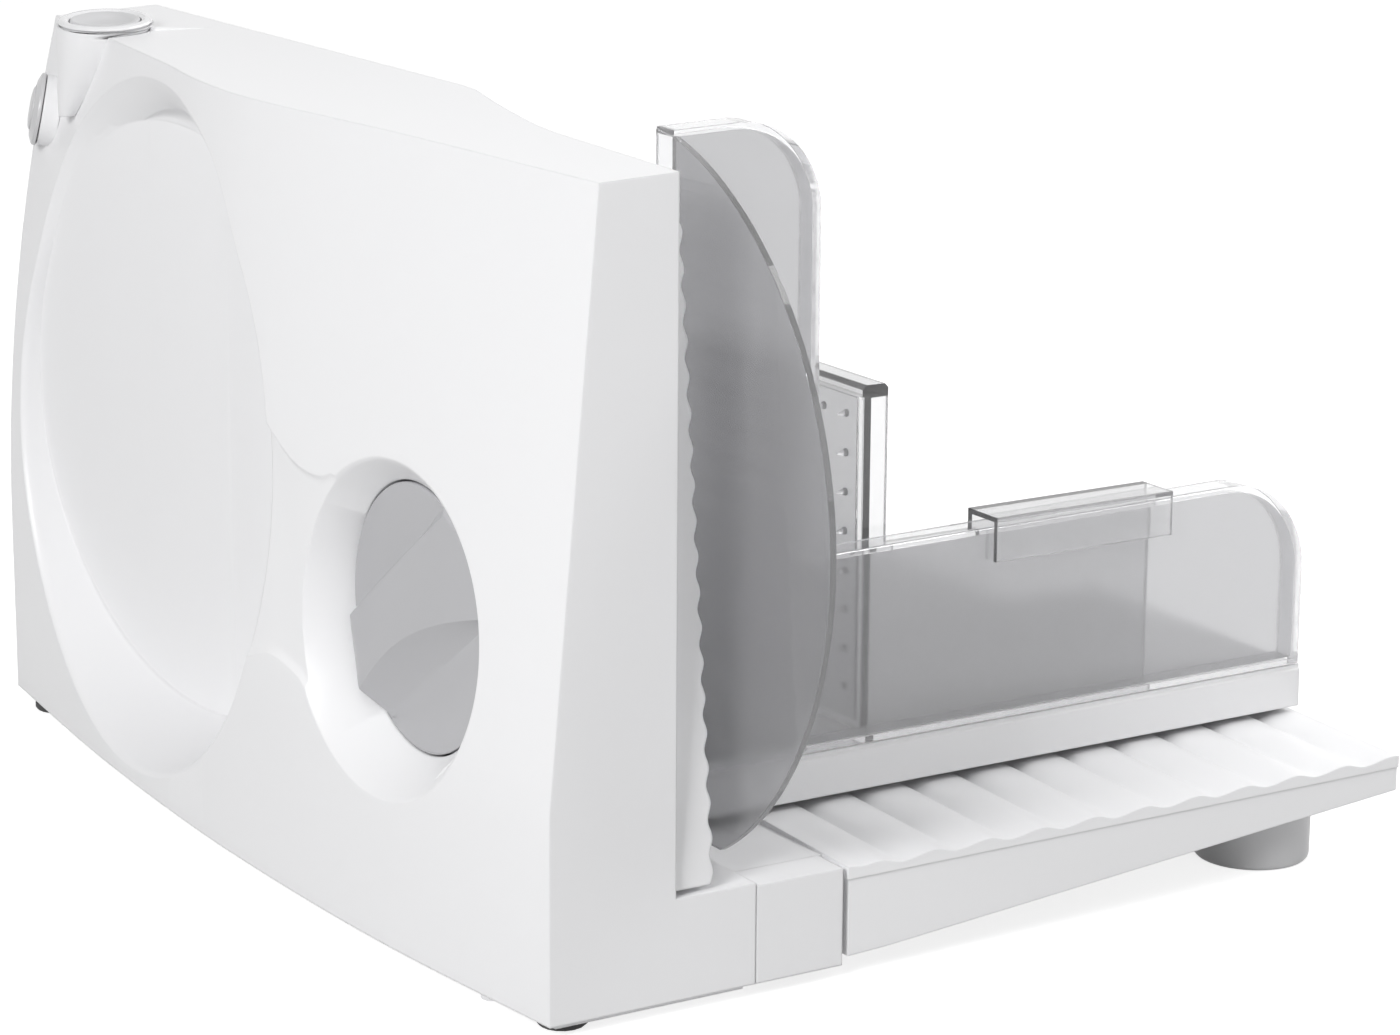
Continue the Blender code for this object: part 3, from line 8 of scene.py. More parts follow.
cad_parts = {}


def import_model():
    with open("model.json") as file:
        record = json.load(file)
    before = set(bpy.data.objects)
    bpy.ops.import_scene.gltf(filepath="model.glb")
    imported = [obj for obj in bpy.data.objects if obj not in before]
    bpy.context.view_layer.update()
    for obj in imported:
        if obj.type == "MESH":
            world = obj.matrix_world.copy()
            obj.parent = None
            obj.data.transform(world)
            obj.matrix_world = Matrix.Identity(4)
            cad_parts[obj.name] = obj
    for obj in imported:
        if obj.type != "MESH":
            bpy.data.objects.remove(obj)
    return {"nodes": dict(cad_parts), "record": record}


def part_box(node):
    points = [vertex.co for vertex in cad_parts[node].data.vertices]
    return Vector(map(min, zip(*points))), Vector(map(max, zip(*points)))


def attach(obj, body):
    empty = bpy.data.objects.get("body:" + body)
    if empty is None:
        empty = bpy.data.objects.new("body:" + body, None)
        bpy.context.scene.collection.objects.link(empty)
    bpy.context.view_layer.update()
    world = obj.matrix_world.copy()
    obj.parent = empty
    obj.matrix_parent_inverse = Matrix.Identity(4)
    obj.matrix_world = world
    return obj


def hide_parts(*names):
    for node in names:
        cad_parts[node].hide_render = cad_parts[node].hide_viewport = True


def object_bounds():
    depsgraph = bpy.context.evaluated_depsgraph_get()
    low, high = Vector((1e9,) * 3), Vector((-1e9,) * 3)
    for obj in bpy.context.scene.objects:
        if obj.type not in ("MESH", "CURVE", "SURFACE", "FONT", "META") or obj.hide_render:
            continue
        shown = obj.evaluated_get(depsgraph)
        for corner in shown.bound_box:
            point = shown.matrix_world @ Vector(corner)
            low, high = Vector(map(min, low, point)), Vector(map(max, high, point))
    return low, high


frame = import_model()
cad_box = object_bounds()

# Sizes are millimetres in the drawing frame: X right, Y away from the user, Z up from the table.
# The drawing frame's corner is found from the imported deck, whose right and far edges are known.
MM = 0.001
DECK_X0 = 63.1
DECK_X1 = 285.7
DECK_Y0 = 13.0
DECK_Y1 = 350.0
deck_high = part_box("deck")[1]
SHIFT_X = deck_high[0] / MM - DECK_X1
SHIFT_Y = deck_high[1] / MM - DECK_Y1
MIN_X = cad_box[0][0] / MM - SHIFT_X

# Housing
FOOT_H = 4.0
HOUSE_L = 358.0
WALL = 2.5
NEAR_WALL = 1.5
TOP_LEFT_Z = 223.1
TOP_SLOPE = 0.038
BLOCK_W = 62.8
BLOCK_TOP = 32.3
LEFT_TOP = [(14.6, 0), (9.5, 95), (3.2, 172), (5.1, 209), (11, 245), (19.5, 311), (25, 358)]
LEFT_BOTTOM = [(0, 0), (-6.8, 70), (-9.3, 125), (-9.3, 190), (-4.8, 272), (4, 358)]
RIGHT_EDGE = [(38, 0), (40.3, 38), (42.5, 75), (44.7, 87), (51.5, 116), (59.0, 143), (60, 150),
              (60, 358)]
FLARE_Z = 61.0
LOW_ROOM_X = 45.0
BLOCK_SHORT = 4.0
GLAND = (34.0, 20.0)
GLAND_HOLE_R = 6.3
STATION_STEP = 9.0
LEVEL_STEP = 9.0

# Blade and slot
BLADE_Y = 248.0
BLADE_Z = 112.0
BLADE_R = 85.0
BLADE_X = 60.2
BLADE_T = 1.2
SLOT_R = 90.0
SLOT_Y = 215.0
BACK_R = 82.0
POCKET_R = 76.0
BACK_CONE = 1.64

# Side panel and its opening
OPENING_Z0 = 38.0
OPENING_Z1 = 216.0
OPENING_EDGE = 8.0
PANEL_GAP = 0.3
PANEL_X0 = 57.2
PANEL_X1 = 59.7
PANEL_HUB_R = 12.3
PANEL_SCREW_R = 1.7
PANEL_SCREWS = ((342.0, 206.0), (342.0, 48.0), (252.0, 206.0), (252.0, 46.0))

# Dish
DISH_Y = 249.0
DISH_Z = 111.5
DISH_R = 103.5
DISH_TAPER = 0.241
RAMP_X = 52.0
RAMP_Y = 150.0
RAMP_SLOPE = -0.236
RAMP_BEND_Y = 265.0
RAMP_BEND = 24.0
RAMP_FAR_SLOPE = -0.17
LIP = [(0.0, -30), (0.0, 20), (8.4, 50), (8.2, 70), (6.7, 90), (5.8, 120), (0.0, 140), (0.0, 360)]
LIP_DEEP = 7.0
DISH_BEND = 9.0

# Dial
DIAL_Y = 82.0
DIAL_Z = 93.0
DIAL_R = 37.2
DIAL_X = 6.5
DIAL_T = 5.5
RIDGE_H = 4.7
RIDGE_TOP = 19.4
RIDGE_LOW = -16.0
SCOOP = 4.2
RECESS_Y = 81.5
RECESS_Z = 91.5
RECESS_R = 46.0
SEAT_X = 7.0
DIAL_FLOOR = 12.6
HUB_R = 8.0
HUB_GAP = 0.07
NECK_X = -5.4
NECK_Y = 128.0
NECK_Z = 98.0
MARK_ANGLES = (236, 232, 225, 219)

# Stop plate
STOP_X = 50.0
STOP_R = 88.0
STOP_Z0 = 33.8
STOP_Z1 = 206.8
STOP_SKIRT = 25.0
STOP_NEAR = 1.8
STOP_BEND_Z = 41.0
RIB_PITCH = 9.3
RIB_A = 0.55

# Deck
APRON_X = 92.2
DECK_Z = 33.2
DECK_T = 4.7
DECK_FRONT_Z = 31.8
DECK_FLAT = DECK_Z - 0.5
DECK_UNDER = DECK_FLAT - DECK_T
APRON_Z0 = 5.6
APRON_Z1 = 20.9
WAVE = 18.1
WAVE_X = 102.6
WAVE_VALLEY = 0.4
WAVE_END_Y = 57.0
SLOT_X = 154.0
SLOT_W = 8.0
DFOOT_R = 17.0
DFOOT_X = 252.0
DFOOT_NEAR = 25.0
DFOOT_FAR = 325.0

# Carriage
WALL_Y = 45.5
WALL_D = 9.0
CLEAR_T = 2.0
BASE_X0 = 66.5
BASE_X1 = 285.5
BASE_Y1 = 150.0
BASE_Z0 = 34.8
BASE_Z1 = 48.0
GUARD_X = 64.0
GUARD_Y = 72.5
GUARD_Z = 124.5
GUARD_R = 103.5
TALL_X = 111.0
TALL_Z = 226.7
TALL_R = 26.0
LOW_Z = 105.3
LOW_R = 28.0
LOW_X = 284.6

# Remnant holder
HOLD_X = 132.0
HOLD_T = 8.4
HOLD_Y0 = 55.0
HOLD_Y1 = 142.0
HOLD_TOP = 148.4
SLIDE_X1 = 233.0
SLIDE_TOP = 101.0
HOOK_X0 = 170.0
HOOK_X1 = 232.5
SPIKE = 11.3
SPIKE_T = 1.2
SPIKE_EDGE = 3.0
SPIKE_COLUMNS = 7
SPIKE_ROWS = 8
HOOK_T = 1.5

# Buttons
PB = (23.4, 316.0, 226.2)
PB_R = 14.6
PB_AXIS = Vector((-0.046, -0.077, 0.996)).normalized()
SB = (14.9, 348.3, 195.4)
SB_R = 11.6
SB_AXIS = Vector((-0.905, 0.373, 0.2)).normalized()
DROP_L = 19.0

# Camera, worked out from the straight edges of the photograph
CAM_AT = (-497.2, -866.0, 394.0)
CAM_YAW = radians(32.03)
CAM_PITCH = radians(14.27)
CAM_ROLL = radians(0.37)
CAM_LENS = 106.1

# Surroundings
FLOOR_HALF = 4.0
FLOOR_GREY = 0.5
FLOOR_GLOW = 0.78
WORLD_LEVEL = 0.22


def world(v):
    return Vector(((v[0] + SHIFT_X) * MM, (v[1] + SHIFT_Y) * MM, v[2] * MM))


def mesh_object(name, verts, faces):
    mesh = bpy.data.meshes.new(name)
    mesh.from_pydata([world(v) for v in verts], [], faces)
    tidy_mesh(mesh)
    obj = bpy.data.objects.new(name, mesh)
    bpy.context.collection.objects.link(obj)
    return obj


def tidy_mesh(mesh):
    bm = bmesh.new()
    bm.from_mesh(mesh)
    bmesh.ops.remove_doubles(bm, verts=bm.verts, dist=0.000001)
    if not all(edge.is_contiguous for edge in bm.edges):
        bmesh.ops.recalc_face_normals(bm, faces=bm.faces)
    if bm.calc_volume(signed=True) < 0:
        bmesh.ops.reverse_faces(bm, faces=bm.faces)
    bm.to_mesh(mesh)
    bm.free()


def loft(name, rings):
    n = len(rings[0])
    verts = [v for ring in rings for v in ring]
    faces = []
    for k in range(len(rings) - 1):
        for i in range(n):
            j = (i + 1) % n
            faces.append((k * n + i, k * n + j, (k + 1) * n + j, (k + 1) * n + i))
    faces.append(tuple(reversed(range(n))))
    faces.append(tuple(range((len(rings) - 1) * n, len(rings) * n)))
    return mesh_object(name, verts, faces)


def placed(axis, a, b, t):
    if axis == "X":
        return (t, a, b)
    if axis == "Y":
        return (a, t, b)
    return (a, b, t)


def prism(name, outline, axis, t0, t1):
    return loft(name, [[placed(axis, a, b, t) for a, b in outline] for t in (t0, t1)])


def box(name, lo, hi):
    outline = [(lo[0], lo[1]), (hi[0], lo[1]), (hi[0], hi[1]), (lo[0], hi[1])]
    return prism(name, outline, "Z", lo[2], hi[2])


def angles(seg):
    return [2 * pi * i / seg for i in range(seg)]


def turned(name, axis, centre, profile, seg=96):
    return loft(name, [[placed(axis, centre[0] + r * cos(a), centre[1] + r * sin(a), t)
                        for a in angles(seg)] for r, t in profile])


def turned_about(name, centre, axis, profile, seg=96):
    # Turned about any axis: profile is (radius, height along the axis)
    side = axis.cross(Vector((0, 1, 0)) if abs(axis.y) < 0.9 else Vector((1, 0, 0))).normalized()
    other = axis.cross(side)
    return loft(name, [[Vector(centre) + axis * t + side * (r * cos(a)) + other * (r * sin(a))
                        for a in angles(seg)] for r, t in profile])


def combine(obj, tool, operation="DIFFERENCE"):
    mod = obj.modifiers.new("combine", "BOOLEAN")
    mod.operation = operation
    mod.solver = "EXACT"
    mod.object = tool
    bpy.context.view_layer.update()
    graph = bpy.context.evaluated_depsgraph_get()
    mesh = bpy.data.meshes.new_from_object(obj.evaluated_get(graph))
    obj.modifiers.clear()
    obj.data = mesh
    bpy.data.objects.remove(tool, do_unlink=True)
    return obj


def cut(obj, *tools):
    for tool in tools:
        combine(obj, tool)
    return obj


def join(obj, *tools):
    for tool in tools:
        combine(obj, tool, "UNION")
    return obj


def keep(obj, tool):
    return combine(obj, tool, "INTERSECT")


def soften(obj, width, segments=2, angle=35.0):
    mod = obj.modifiers.new("edges", "BEVEL")
    mod.width = width * MM
    mod.segments = segments
    mod.limit_method = "ANGLE"
    mod.angle_limit = radians(angle)


def shade(obj, angle=30.0):
    for poly in obj.data.polygons:
        poly.use_smooth = True
    obj.data.set_sharp_from_angle(angle=radians(angle))


def finish_piece(obj, body, mats, nodes=(), angle=30.0):
    shade(obj, angle)
    obj.data.materials.clear()
    for mat in mats:
        obj.data.materials.append(mat)
    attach(obj, body)
    if nodes:
        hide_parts(*nodes)


# Materials
def new_material(name):
    mat = bpy.data.materials.new(name)
    mat.use_nodes = True
    return mat, mat.node_tree, mat.node_tree.nodes["Principled BSDF"]


def add_node(tree, kind, **values):
    node = tree.nodes.new(kind)
    for key, value in values.items():
        node.inputs[key].default_value = value
    return node


def ramp_node(tree, source, low, high, start=0.35, end=0.65):
    ramp = tree.nodes.new("ShaderNodeMapRange")
    ramp.inputs["From Min"].default_value = start
    ramp.inputs["From Max"].default_value = end
    ramp.inputs["To Min"].default_value = low
    ramp.inputs["To Max"].default_value = high
    tree.links.new(source, ramp.inputs["Value"])
    return ramp.outputs["Result"]


def noise_node(tree, scale, detail):
    coords = tree.nodes.new("ShaderNodeTexCoord")
    noise = add_node(tree, "ShaderNodeTexNoise", Scale=scale, Detail=detail)
    tree.links.new(coords.outputs["Object"], noise.inputs["Vector"])
    return noise.outputs["Fac"]


def add_bump(tree, shader, height, strength, distance, edge=0.0):
    # Fine grain over edges that read as rounded by the given radius
    bump = add_node(tree, "ShaderNodeBump", Strength=strength, Distance=distance)
    tree.links.new(height, bump.inputs["Height"])
    if edge > 0:
        rounded = add_node(tree, "ShaderNodeBevel", Radius=edge)
        rounded.samples = 6
        tree.links.new(rounded.outputs["Normal"], bump.inputs["Normal"])
    tree.links.new(bump.outputs["Normal"], shader.inputs["Normal"])


def add_tint(tree, shader, factor, colour, tint):
    mix = tree.nodes.new("ShaderNodeMix")
    mix.data_type = "RGBA"
    mix.inputs["A"].default_value = (*[c * (1 - tint) for c in colour], 1.0)
    mix.inputs["B"].default_value = (*[min(1.0, c * (1 + tint)) for c in colour], 1.0)
    tree.links.new(factor, mix.inputs["Factor"])
    tree.links.new(mix.outputs["Result"], shader.inputs["Base Color"])


def plastic(name, colour, rough, grain=2600.0, strength=0.05, edge=0.0006):
    mat, tree, shader = new_material(name)
    broad = noise_node(tree, 9.0, 1.0)
    fine = noise_node(tree, grain, 2.0)
    uneven = ramp_node(tree, broad, rough - 0.02, rough + 0.02)
    tree.links.new(uneven, shader.inputs["Roughness"])
    add_tint(tree, shader, broad, colour, 0.01)
    add_bump(tree, shader, fine, strength, 0.0001, edge)
    return mat


def metal(name, colour, rough, brushed_scale, axis_scale):
    mat, tree, shader = new_material(name)
    coords = tree.nodes.new("ShaderNodeTexCoord")
    mapping = tree.nodes.new("ShaderNodeMapping")
    mapping.inputs["Scale"].default_value = axis_scale
    noise = add_node(tree, "ShaderNodeTexNoise", Scale=brushed_scale, Detail=4.0)
    tree.links.new(coords.outputs["Object"], mapping.inputs["Vector"])
    tree.links.new(mapping.outputs["Vector"], noise.inputs["Vector"])
    uneven = ramp_node(tree, noise.outputs["Fac"], rough - 0.08, rough + 0.1)
    tree.links.new(uneven, shader.inputs["Roughness"])
    shader.inputs["Metallic"].default_value = 1.0
    add_tint(tree, shader, noise.outputs["Fac"], colour, 0.04)
    add_bump(tree, shader, noise.outputs["Fac"], 0.08, 0.0001)
    return mat


def clear_plastic(name, colour, rough, grain, strength, weight, smoke=0.0):
    # Smoke darkens the body of the plastic, and only suits a piece with one material
    mat, tree, shader = new_material(name)
    shader.inputs["Transmission Weight"].default_value = weight
    shader.inputs["IOR"].default_value = 1.49
    fine = noise_node(tree, grain, 2.0)
    uneven = ramp_node(tree, fine, max(0.0, rough - 0.02), rough + 0.02)
    tree.links.new(uneven, shader.inputs["Roughness"])
    add_tint(tree, shader, fine, colour, 0.01)
    add_bump(tree, shader, fine, strength, 0.0002)
    if smoke > 0:
        absorb = add_node(tree, "ShaderNodeVolumeAbsorption", Density=smoke)
        absorb.inputs["Color"].default_value = (0.49, 0.49, 0.5, 1.0)
        tree.links.new(absorb.outputs["Volume"], tree.nodes["Material Output"].inputs["Volume"])
    return mat


WHITE = plastic("white_plastic", (0.88, 0.88, 0.89), 0.36, edge=0.0009)
# Painted light: the deck's white is a lighter copy of the housing's white, making up for the light
# that the housing's shadow takes from the deck; its lower roughness is the deck's own finish
DECK_WHITE_PAINTED_LIGHT = plastic("deck_plastic_painted_lighter", (0.92, 0.92, 0.93), 0.3, strength=0.03)
GREY = plastic("grey_plastic", (0.68, 0.68, 0.69), 0.4)
BUTTON = plastic("button_grey", (0.6, 0.6, 0.61), 0.28, strength=0.02)
SILVER = plastic("dial_silver", (0.45, 0.45, 0.465), 0.3, grain=3800.0, strength=0.04, edge=0.0005)
RING = plastic("ring_silver", (0.8, 0.8, 0.81), 0.16, strength=0.01, edge=0.0003)
NYLON = plastic("nylon", (0.75, 0.72, 0.62), 0.5, strength=0.1)
BLACK = plastic("black_plastic", (0.05, 0.05, 0.055), 0.42, strength=0.12)
RUBBER = plastic("rubber", (0.07, 0.07, 0.07), 0.8, grain=1500.0, strength=0.3)
BOARD = plastic("board_green", (0.05, 0.2, 0.09), 0.4, strength=0.06)
MARK = plastic("dial_marks", (0.95, 0.95, 0.95), 0.3, edge=0.0)
STEEL = metal("brushed_steel", (0.62, 0.62, 0.63), 0.28, 60.0, (40.0, 1.0, 1.0))
BRONZE = metal("bronze", (0.5, 0.33, 0.16), 0.35, 90.0, (1.0, 1.0, 1.0))
FROSTED = clear_plastic("smoke_frosted", (0.28, 0.28, 0.29), 0.2, 1500.0, 0.06, 0.9)
CLEAR = clear_plastic("smoke_clear", (0.9, 0.9, 0.91), 0.02, 900.0, 0.002, 0.88)
TINTED = clear_plastic("smoke_tinted", (0.97, 0.97, 0.975), 0.02, 900.0, 0.002, 0.9, 95.0)
SPIKED = clear_plastic("smoke_spikes", (0.9, 0.9, 0.91), 0.25, 1500.0, 0.1, 0.8)

LOOKS = {"white": WHITE, "grey": GREY, "silver": RING, "clear": CLEAR, "steel": STEEL,
         "rubber": RUBBER, "nylon": NYLON, "bronze": BRONZE, "black": BLACK, "board": BOARD}


def dress_cad_nodes():
    for entry in frame["record"]["subparts"]:
        obj = frame["nodes"][entry["node"]]
        for slot in obj.material_slots:
            slot.material = LOOKS[entry["material_slot"]]


# Housing surfaces
def curve_at(points, y):
    count = len(points)
    i = 0
    while i < count - 2 and y > points[i + 1][1]:
        i += 1

    def slope(k):
        lo = max(k - 1, 0)
        hi = min(k + 1, count - 1)
        return (points[hi][0] - points[lo][0]) / (points[hi][1] - points[lo][1])

    span = points[i + 1][1] - points[i][1]
    t = (y - points[i][1]) / span
    a = (2 * t**3 - 3 * t * t + 1) * points[i][0] + (t**3 - 2 * t * t + t) * span * slope(i)
    b = (-2 * t**3 + 3 * t * t) * points[i + 1][0] + (t**3 - t * t) * span * slope(i + 1)
    return a + b


def left_x(y, z):
    low = curve_at(LEFT_BOTTOM, y)
    high = curve_at(LEFT_TOP, y)
    t = min(1.0, max(0.0, (z - FLARE_Z) / (TOP_LEFT_Z - FLARE_Z)))
    return max(low + (high - low) * t ** (1 + y / HOUSE_L), MIN_X + 0.02)


def line_at(points, y):
    for (x0, y0), (x1, y1) in zip(points, points[1:]):
        if y <= y1:
            return x0 + (x1 - x0) * (y - y0) / (y1 - y0)
    return points[-1][0]


def right_x(y):
    return line_at(RIGHT_EDGE, y)


def top_z(x):
    return TOP_LEFT_Z + TOP_SLOPE * (x - LEFT_TOP[0][0])


def steps(start, end, step):
    count = max(1, ceil((end - start) / step))
    return [start + (end - start) * i / count for i in range(count + 1)]


def housing_solid(name, inset, bottom, station_step, level_step):
    rings = []
    near = NEAR_WALL if inset else 0.0
    for at in steps(near, HOUSE_L - inset, station_step):
        ring = [(left_x(at, FLARE_Z) + inset, at, bottom)]
        for z in steps(FLARE_Z - 8, TOP_LEFT_Z - 7, level_step):
            ring.append((left_x(at, z) + inset, at, z))
        edge = curve_at(LEFT_TOP, at) + inset * 1.1
        ring.append((edge, at, top_z(edge) - inset))
        side = right_x(at) - inset
        ring.append((side, at, top_z(side) - inset))
        ring.append((side, at, bottom))
        rings.append(ring)
    return loft(name, rings)


def ramp_x(y):
    # The dish floor bends gently beyond the blade's centre
    before = RAMP_X + RAMP_SLOPE * (y - RAMP_Y)
    t = min(1.0, max(0.0, (y - RAMP_BEND_Y + RAMP_BEND) / (2 * RAMP_BEND)))
    past = RAMP_BEND * t * t if y < RAMP_BEND_Y + RAMP_BEND else y - RAMP_BEND_Y
    return before + (RAMP_FAR_SLOPE - RAMP_SLOPE) * past


def ramp_side(name, shift):
    # Everything on the left of the dish floor
    near, far = 60.0, 420.0
    bend = steps(RAMP_BEND_Y - RAMP_BEND, RAMP_BEND_Y + RAMP_BEND, 4.0)
    floor = [(ramp_x(y) + shift, y) for y in [near] + bend + [far]]
    return prism(name, [(-60, near)] + floor + [(-60, far)], "Z", -20, 260)


def face_point(centre, r, a):
    # The place on the left face at a radius and angle about an axis along X
    y = centre[0] + r * cos(a)
    z = centre[1] + r * sin(a)
    return left_x(min(max(y, 0.0), HOUSE_L), z), y, z


def dish_wall(x, grow):
    return DISH_R + grow - DISH_TAPER * (x + 12)


def dish_void(name, grow, x_end, seg):
    # A cone whose upper part flares into a soft lip and rounds over into the floor
    rings = [[] for k in range(15)]
    for a in angles(seg):
        lip = max(0.0, curve_at(LIP, a * 180 / pi))
        x = face_point((DISH_Y, DISH_Z), DISH_R + lip - 4.0, a)[0]
        depths = [(-30.0 - x, lip + 9.0), (-0.7, lip + 1.9), (0.0, lip + 0.9),
                  (0.7, 0.9 * lip + 0.3), (1.6, 0.75 * lip), (3.0, 0.5 * lip), (4.6, 0.26 * lip),
                  (6.4, 0.08 * lip)]
        spots = [(x + deep, dish_wall(x + deep, grow) + extra) for deep, extra in depths]
        floor = ramp_x(DISH_Y + dish_wall(x + LIP_DEEP, grow) * cos(a)) + grow
        room = floor - x - LIP_DEEP - 0.2
        bend = max(0.3, min(DISH_BEND * max(0.0, sin(a)), room))
        start = x + max(LIP_DEEP + 0.2, floor - x - bend)
        r0 = dish_wall(start, grow)
        for k in range(6):
            t = radians(18 * k)
            spots.append((start + bend * sin(t), r0 - bend * (1 - cos(t))))
        spots.append((x_end, r0 - bend - 3.0))
        for ring, (along, r) in zip(rings, spots):
            ring.append((along, DISH_Y + r * cos(a), DISH_Z + r * sin(a)))
    return keep(loft(name, rings), ramp_side("ramp", grow))


def slot_round(name, r, x0, x1, y_end, seg):
    body = turned(name, "X", (BLADE_Y, BLADE_Z), [(r, x0), (r, x1)], seg)
    return keep(body, box("half", (x0 - 5, 0, -20), (x1 + 5, y_end, 300)))


def slot_void():
    plug = turned("plug", "X", (BLADE_Y, BLADE_Z),
                  [(BACK_R - 40 * BACK_CONE, 19.5), (BACK_R, 59.5), (BACK_R, 90)], 120)
    return cut(slot_round("slot", SLOT_R, 30, 80, SLOT_Y, 120), plug)


def smooth_line(points, per=4):
    # Rounds a list of points by a Catmull-Rom curve
    out = []
    for i in range(len(points) - 1):
        p0 = points[max(i - 1, 0)]
        p1, p2 = points[i], points[i + 1]
        p3 = points[min(i + 2, len(points) - 1)]
        for k in range(per):
            t = k / per
            out.append(tuple(0.5 * (2 * b + (c - a) * t + (2 * a - 5 * b + 4 * c - d) * t * t
                                    + (3 * b - a - 3 * c + d) * t**3)
                             for a, b, c, d in zip(p0, p1, p2, p3)))
    out.append(points[-1])
    return out


def neck_outline():
    up = smooth_line([(150, 135), (146.5, 133), (138.9, 129.2), (131.7, 126.8), (123.4, 126),
                      (117.5, 126.7), (112.5, 128.6), (107, 128)])
    low = smooth_line([(104, 68), (114, 65.5), (120.0, 66.6), (124.4, 68.8), (133.3, 70.9),
                       (140.9, 71.5), (145.8, 70.5), (157.7, 66)])
    return up + [(90, 114), (90, 74)] + low


def neck_void(name, grow):
    # A shallow saddle between the dish and the dial's recess, with drafted and rounded sides
    outline = neck_outline()
    if grow:
        outline = [(NECK_Y + (y - NECK_Y) * 1.1, NECK_Z + (z - NECK_Z) * 1.1) for y, z in outline]
    profile = ((9.0, 5.5), (2.6, 1.9), (1.9, 0.9), (1.2, 0.1), (0.5, -0.8), (0.15, -1.6),
               (0.0, -2.6))
    rings = []
    for height, out in profile:
        ring = []
        for y, z in outline:
            side = 1.0 if z > NECK_Z else -1.0
            floor = NECK_X + 0.07 * (z - NECK_Z) - 0.02 * (y - NECK_Y) + grow
            ring.append((floor - height, y, z + out * side))
        rings.append(ring)
    return loft(name, rings)


def recess_point(a, t):
    # From the dial's seat (t 0) to the circle on the left face (t 1)
    x, y, z = face_point((RECESS_Y, RECESS_Z), RECESS_R, a)
    r = DIAL_R + 0.6
    seat = (SEAT_X, DIAL_Y + r * cos(a), DIAL_Z + r * sin(a))
    return tuple(p + (q - p) * t for p, q in zip(seat, (x, y, z)))


def dial_void(name, grow, seg):
    # Rings at shares of the slope, some wider to round its outer edge, and the seat's floor
    slope = ((1.7, 3.0), (1.06, 1.1), (1.0, 0.5), (0.94, 0.15), (0.86, 0.0), (0.0, 0.0))
    rings = []
    for share, extra in slope:
        ring = []
        for a in angles(seg):
            out = (0.0, cos(a), sin(a))
            spot = zip(recess_point(a, share), out)
            ring.append(tuple(c + o * (grow + extra) for c, o in spot))
        rings.append(ring)
    rings.append([(DIAL_FLOOR + grow, *spot[1:]) for spot in rings[-1]])
    return loft(name, rings)


def stop_outline(grow):
    # The round edge beside the blade ends at the plate's lower edge
    near = STOP_NEAR - 0.3 * (grow > 0)
    bottom = STOP_Z0 - grow
    top = 66.0 * pi / 180
    low = min(top, asin((BLADE_Z - STOP_Z0) / STOP_R))
    pts = [(near, bottom), (near, STOP_BEND_Z), (19.2 - grow, STOP_Z1 + grow)]
    pts.append((BLADE_Y - STOP_R * cos(top) - 22, STOP_Z1 + grow))
    for i in range(49):
        a = top - (top + low) * i / 48
        pts.append((BLADE_Y - STOP_R * cos(a), BLADE_Z + STOP_R * sin(a)))
    if pts[-1][1] > bottom + 0.01:
        pts.append((pts[-1][0], bottom))
    return pts


def far_opening(name, less, x0, x1):
    r = POCKET_R - less
    body = turned(name, "X", (BLADE_Y, BLADE_Z), [(r, x0), (r, x1)], 120)
    lo = (x0, BLADE_Y + less, OPENING_Z0 + less)
    return join(body, box("rest", lo, (x1, HOUSE_L - OPENING_EDGE - less, OPENING_Z1 - less)))


def power_boss():
    # A leaning cone that carries the ring and fades into the left face
    levels = smooth_line([(PB[0], PB[1], PB[2] - 0.4, PB_R + 0.4), (21.6, 317.0, 220.2, 13.1),
                          (19.6, 318.2, 214.0, 10.7), (15.9, 320.8, 205.0, 6.6),
                          (12.6, 323.0, 197.0, 2.5)])
    rings = []
    for k, (cx, cy, z, r) in enumerate(levels):
        lean = 1.0 if k == 0 else 0.0
        rings.append([(cx + r * cos(a), cy + r * sin(a),
                       z + lean * (0.046 * r * cos(a) + 0.077 * r * sin(a))) for a in angles(72)])
    return loft("power_boss", rings)


def switch_room():
    side = (Vector((1, 0, 0)) - PB_AXIS * PB_AXIS.x).normalized()
    other = PB_AXIS.cross(side)
    corners = ((-5.9, -8.4), (5.9, -8.4), (5.9, 8.4), (-5.9, 8.4))
    return loft("switch_room", [[Vector(PB) + PB_AXIS * deep + side * a + other * b
                                 for a, b in corners] for deep in (-31.0, -8.0)])


def shell_inside():
    inner = housing_solid("inner", WALL, -5.0, 30.0, 30.0)
    room = box("room", (-60, -20, BLOCK_TOP), (BLOCK_W + 30, 400, 300))
    keep(inner, join(room, box("low", (-60, -20, -20), (LOW_ROOM_X, 400, BLOCK_TOP + 1))))
    far = (BLOCK_W - WALL, HOUSE_L - BLOCK_SHORT - WALL, BLOCK_TOP - WALL)
    join(inner, box("under", (28, NEAR_WALL, -6), far))
    cut(inner, dish_void("dish_out", WALL, 42.5, 72))
    cut(inner, slot_round("slot_out", SLOT_R + WALL, 25, 62, SLOT_Y + WALL, 72))
    cut(inner, dial_void("dial_out", 2.0, 48))
    cut(inner, neck_void("neck_out", 2.0))
    return cut(inner, turned("ring", "Z", PB[:2], [(PB_R + 3.5, 205), (PB_R + 3.5, 240)], 40))


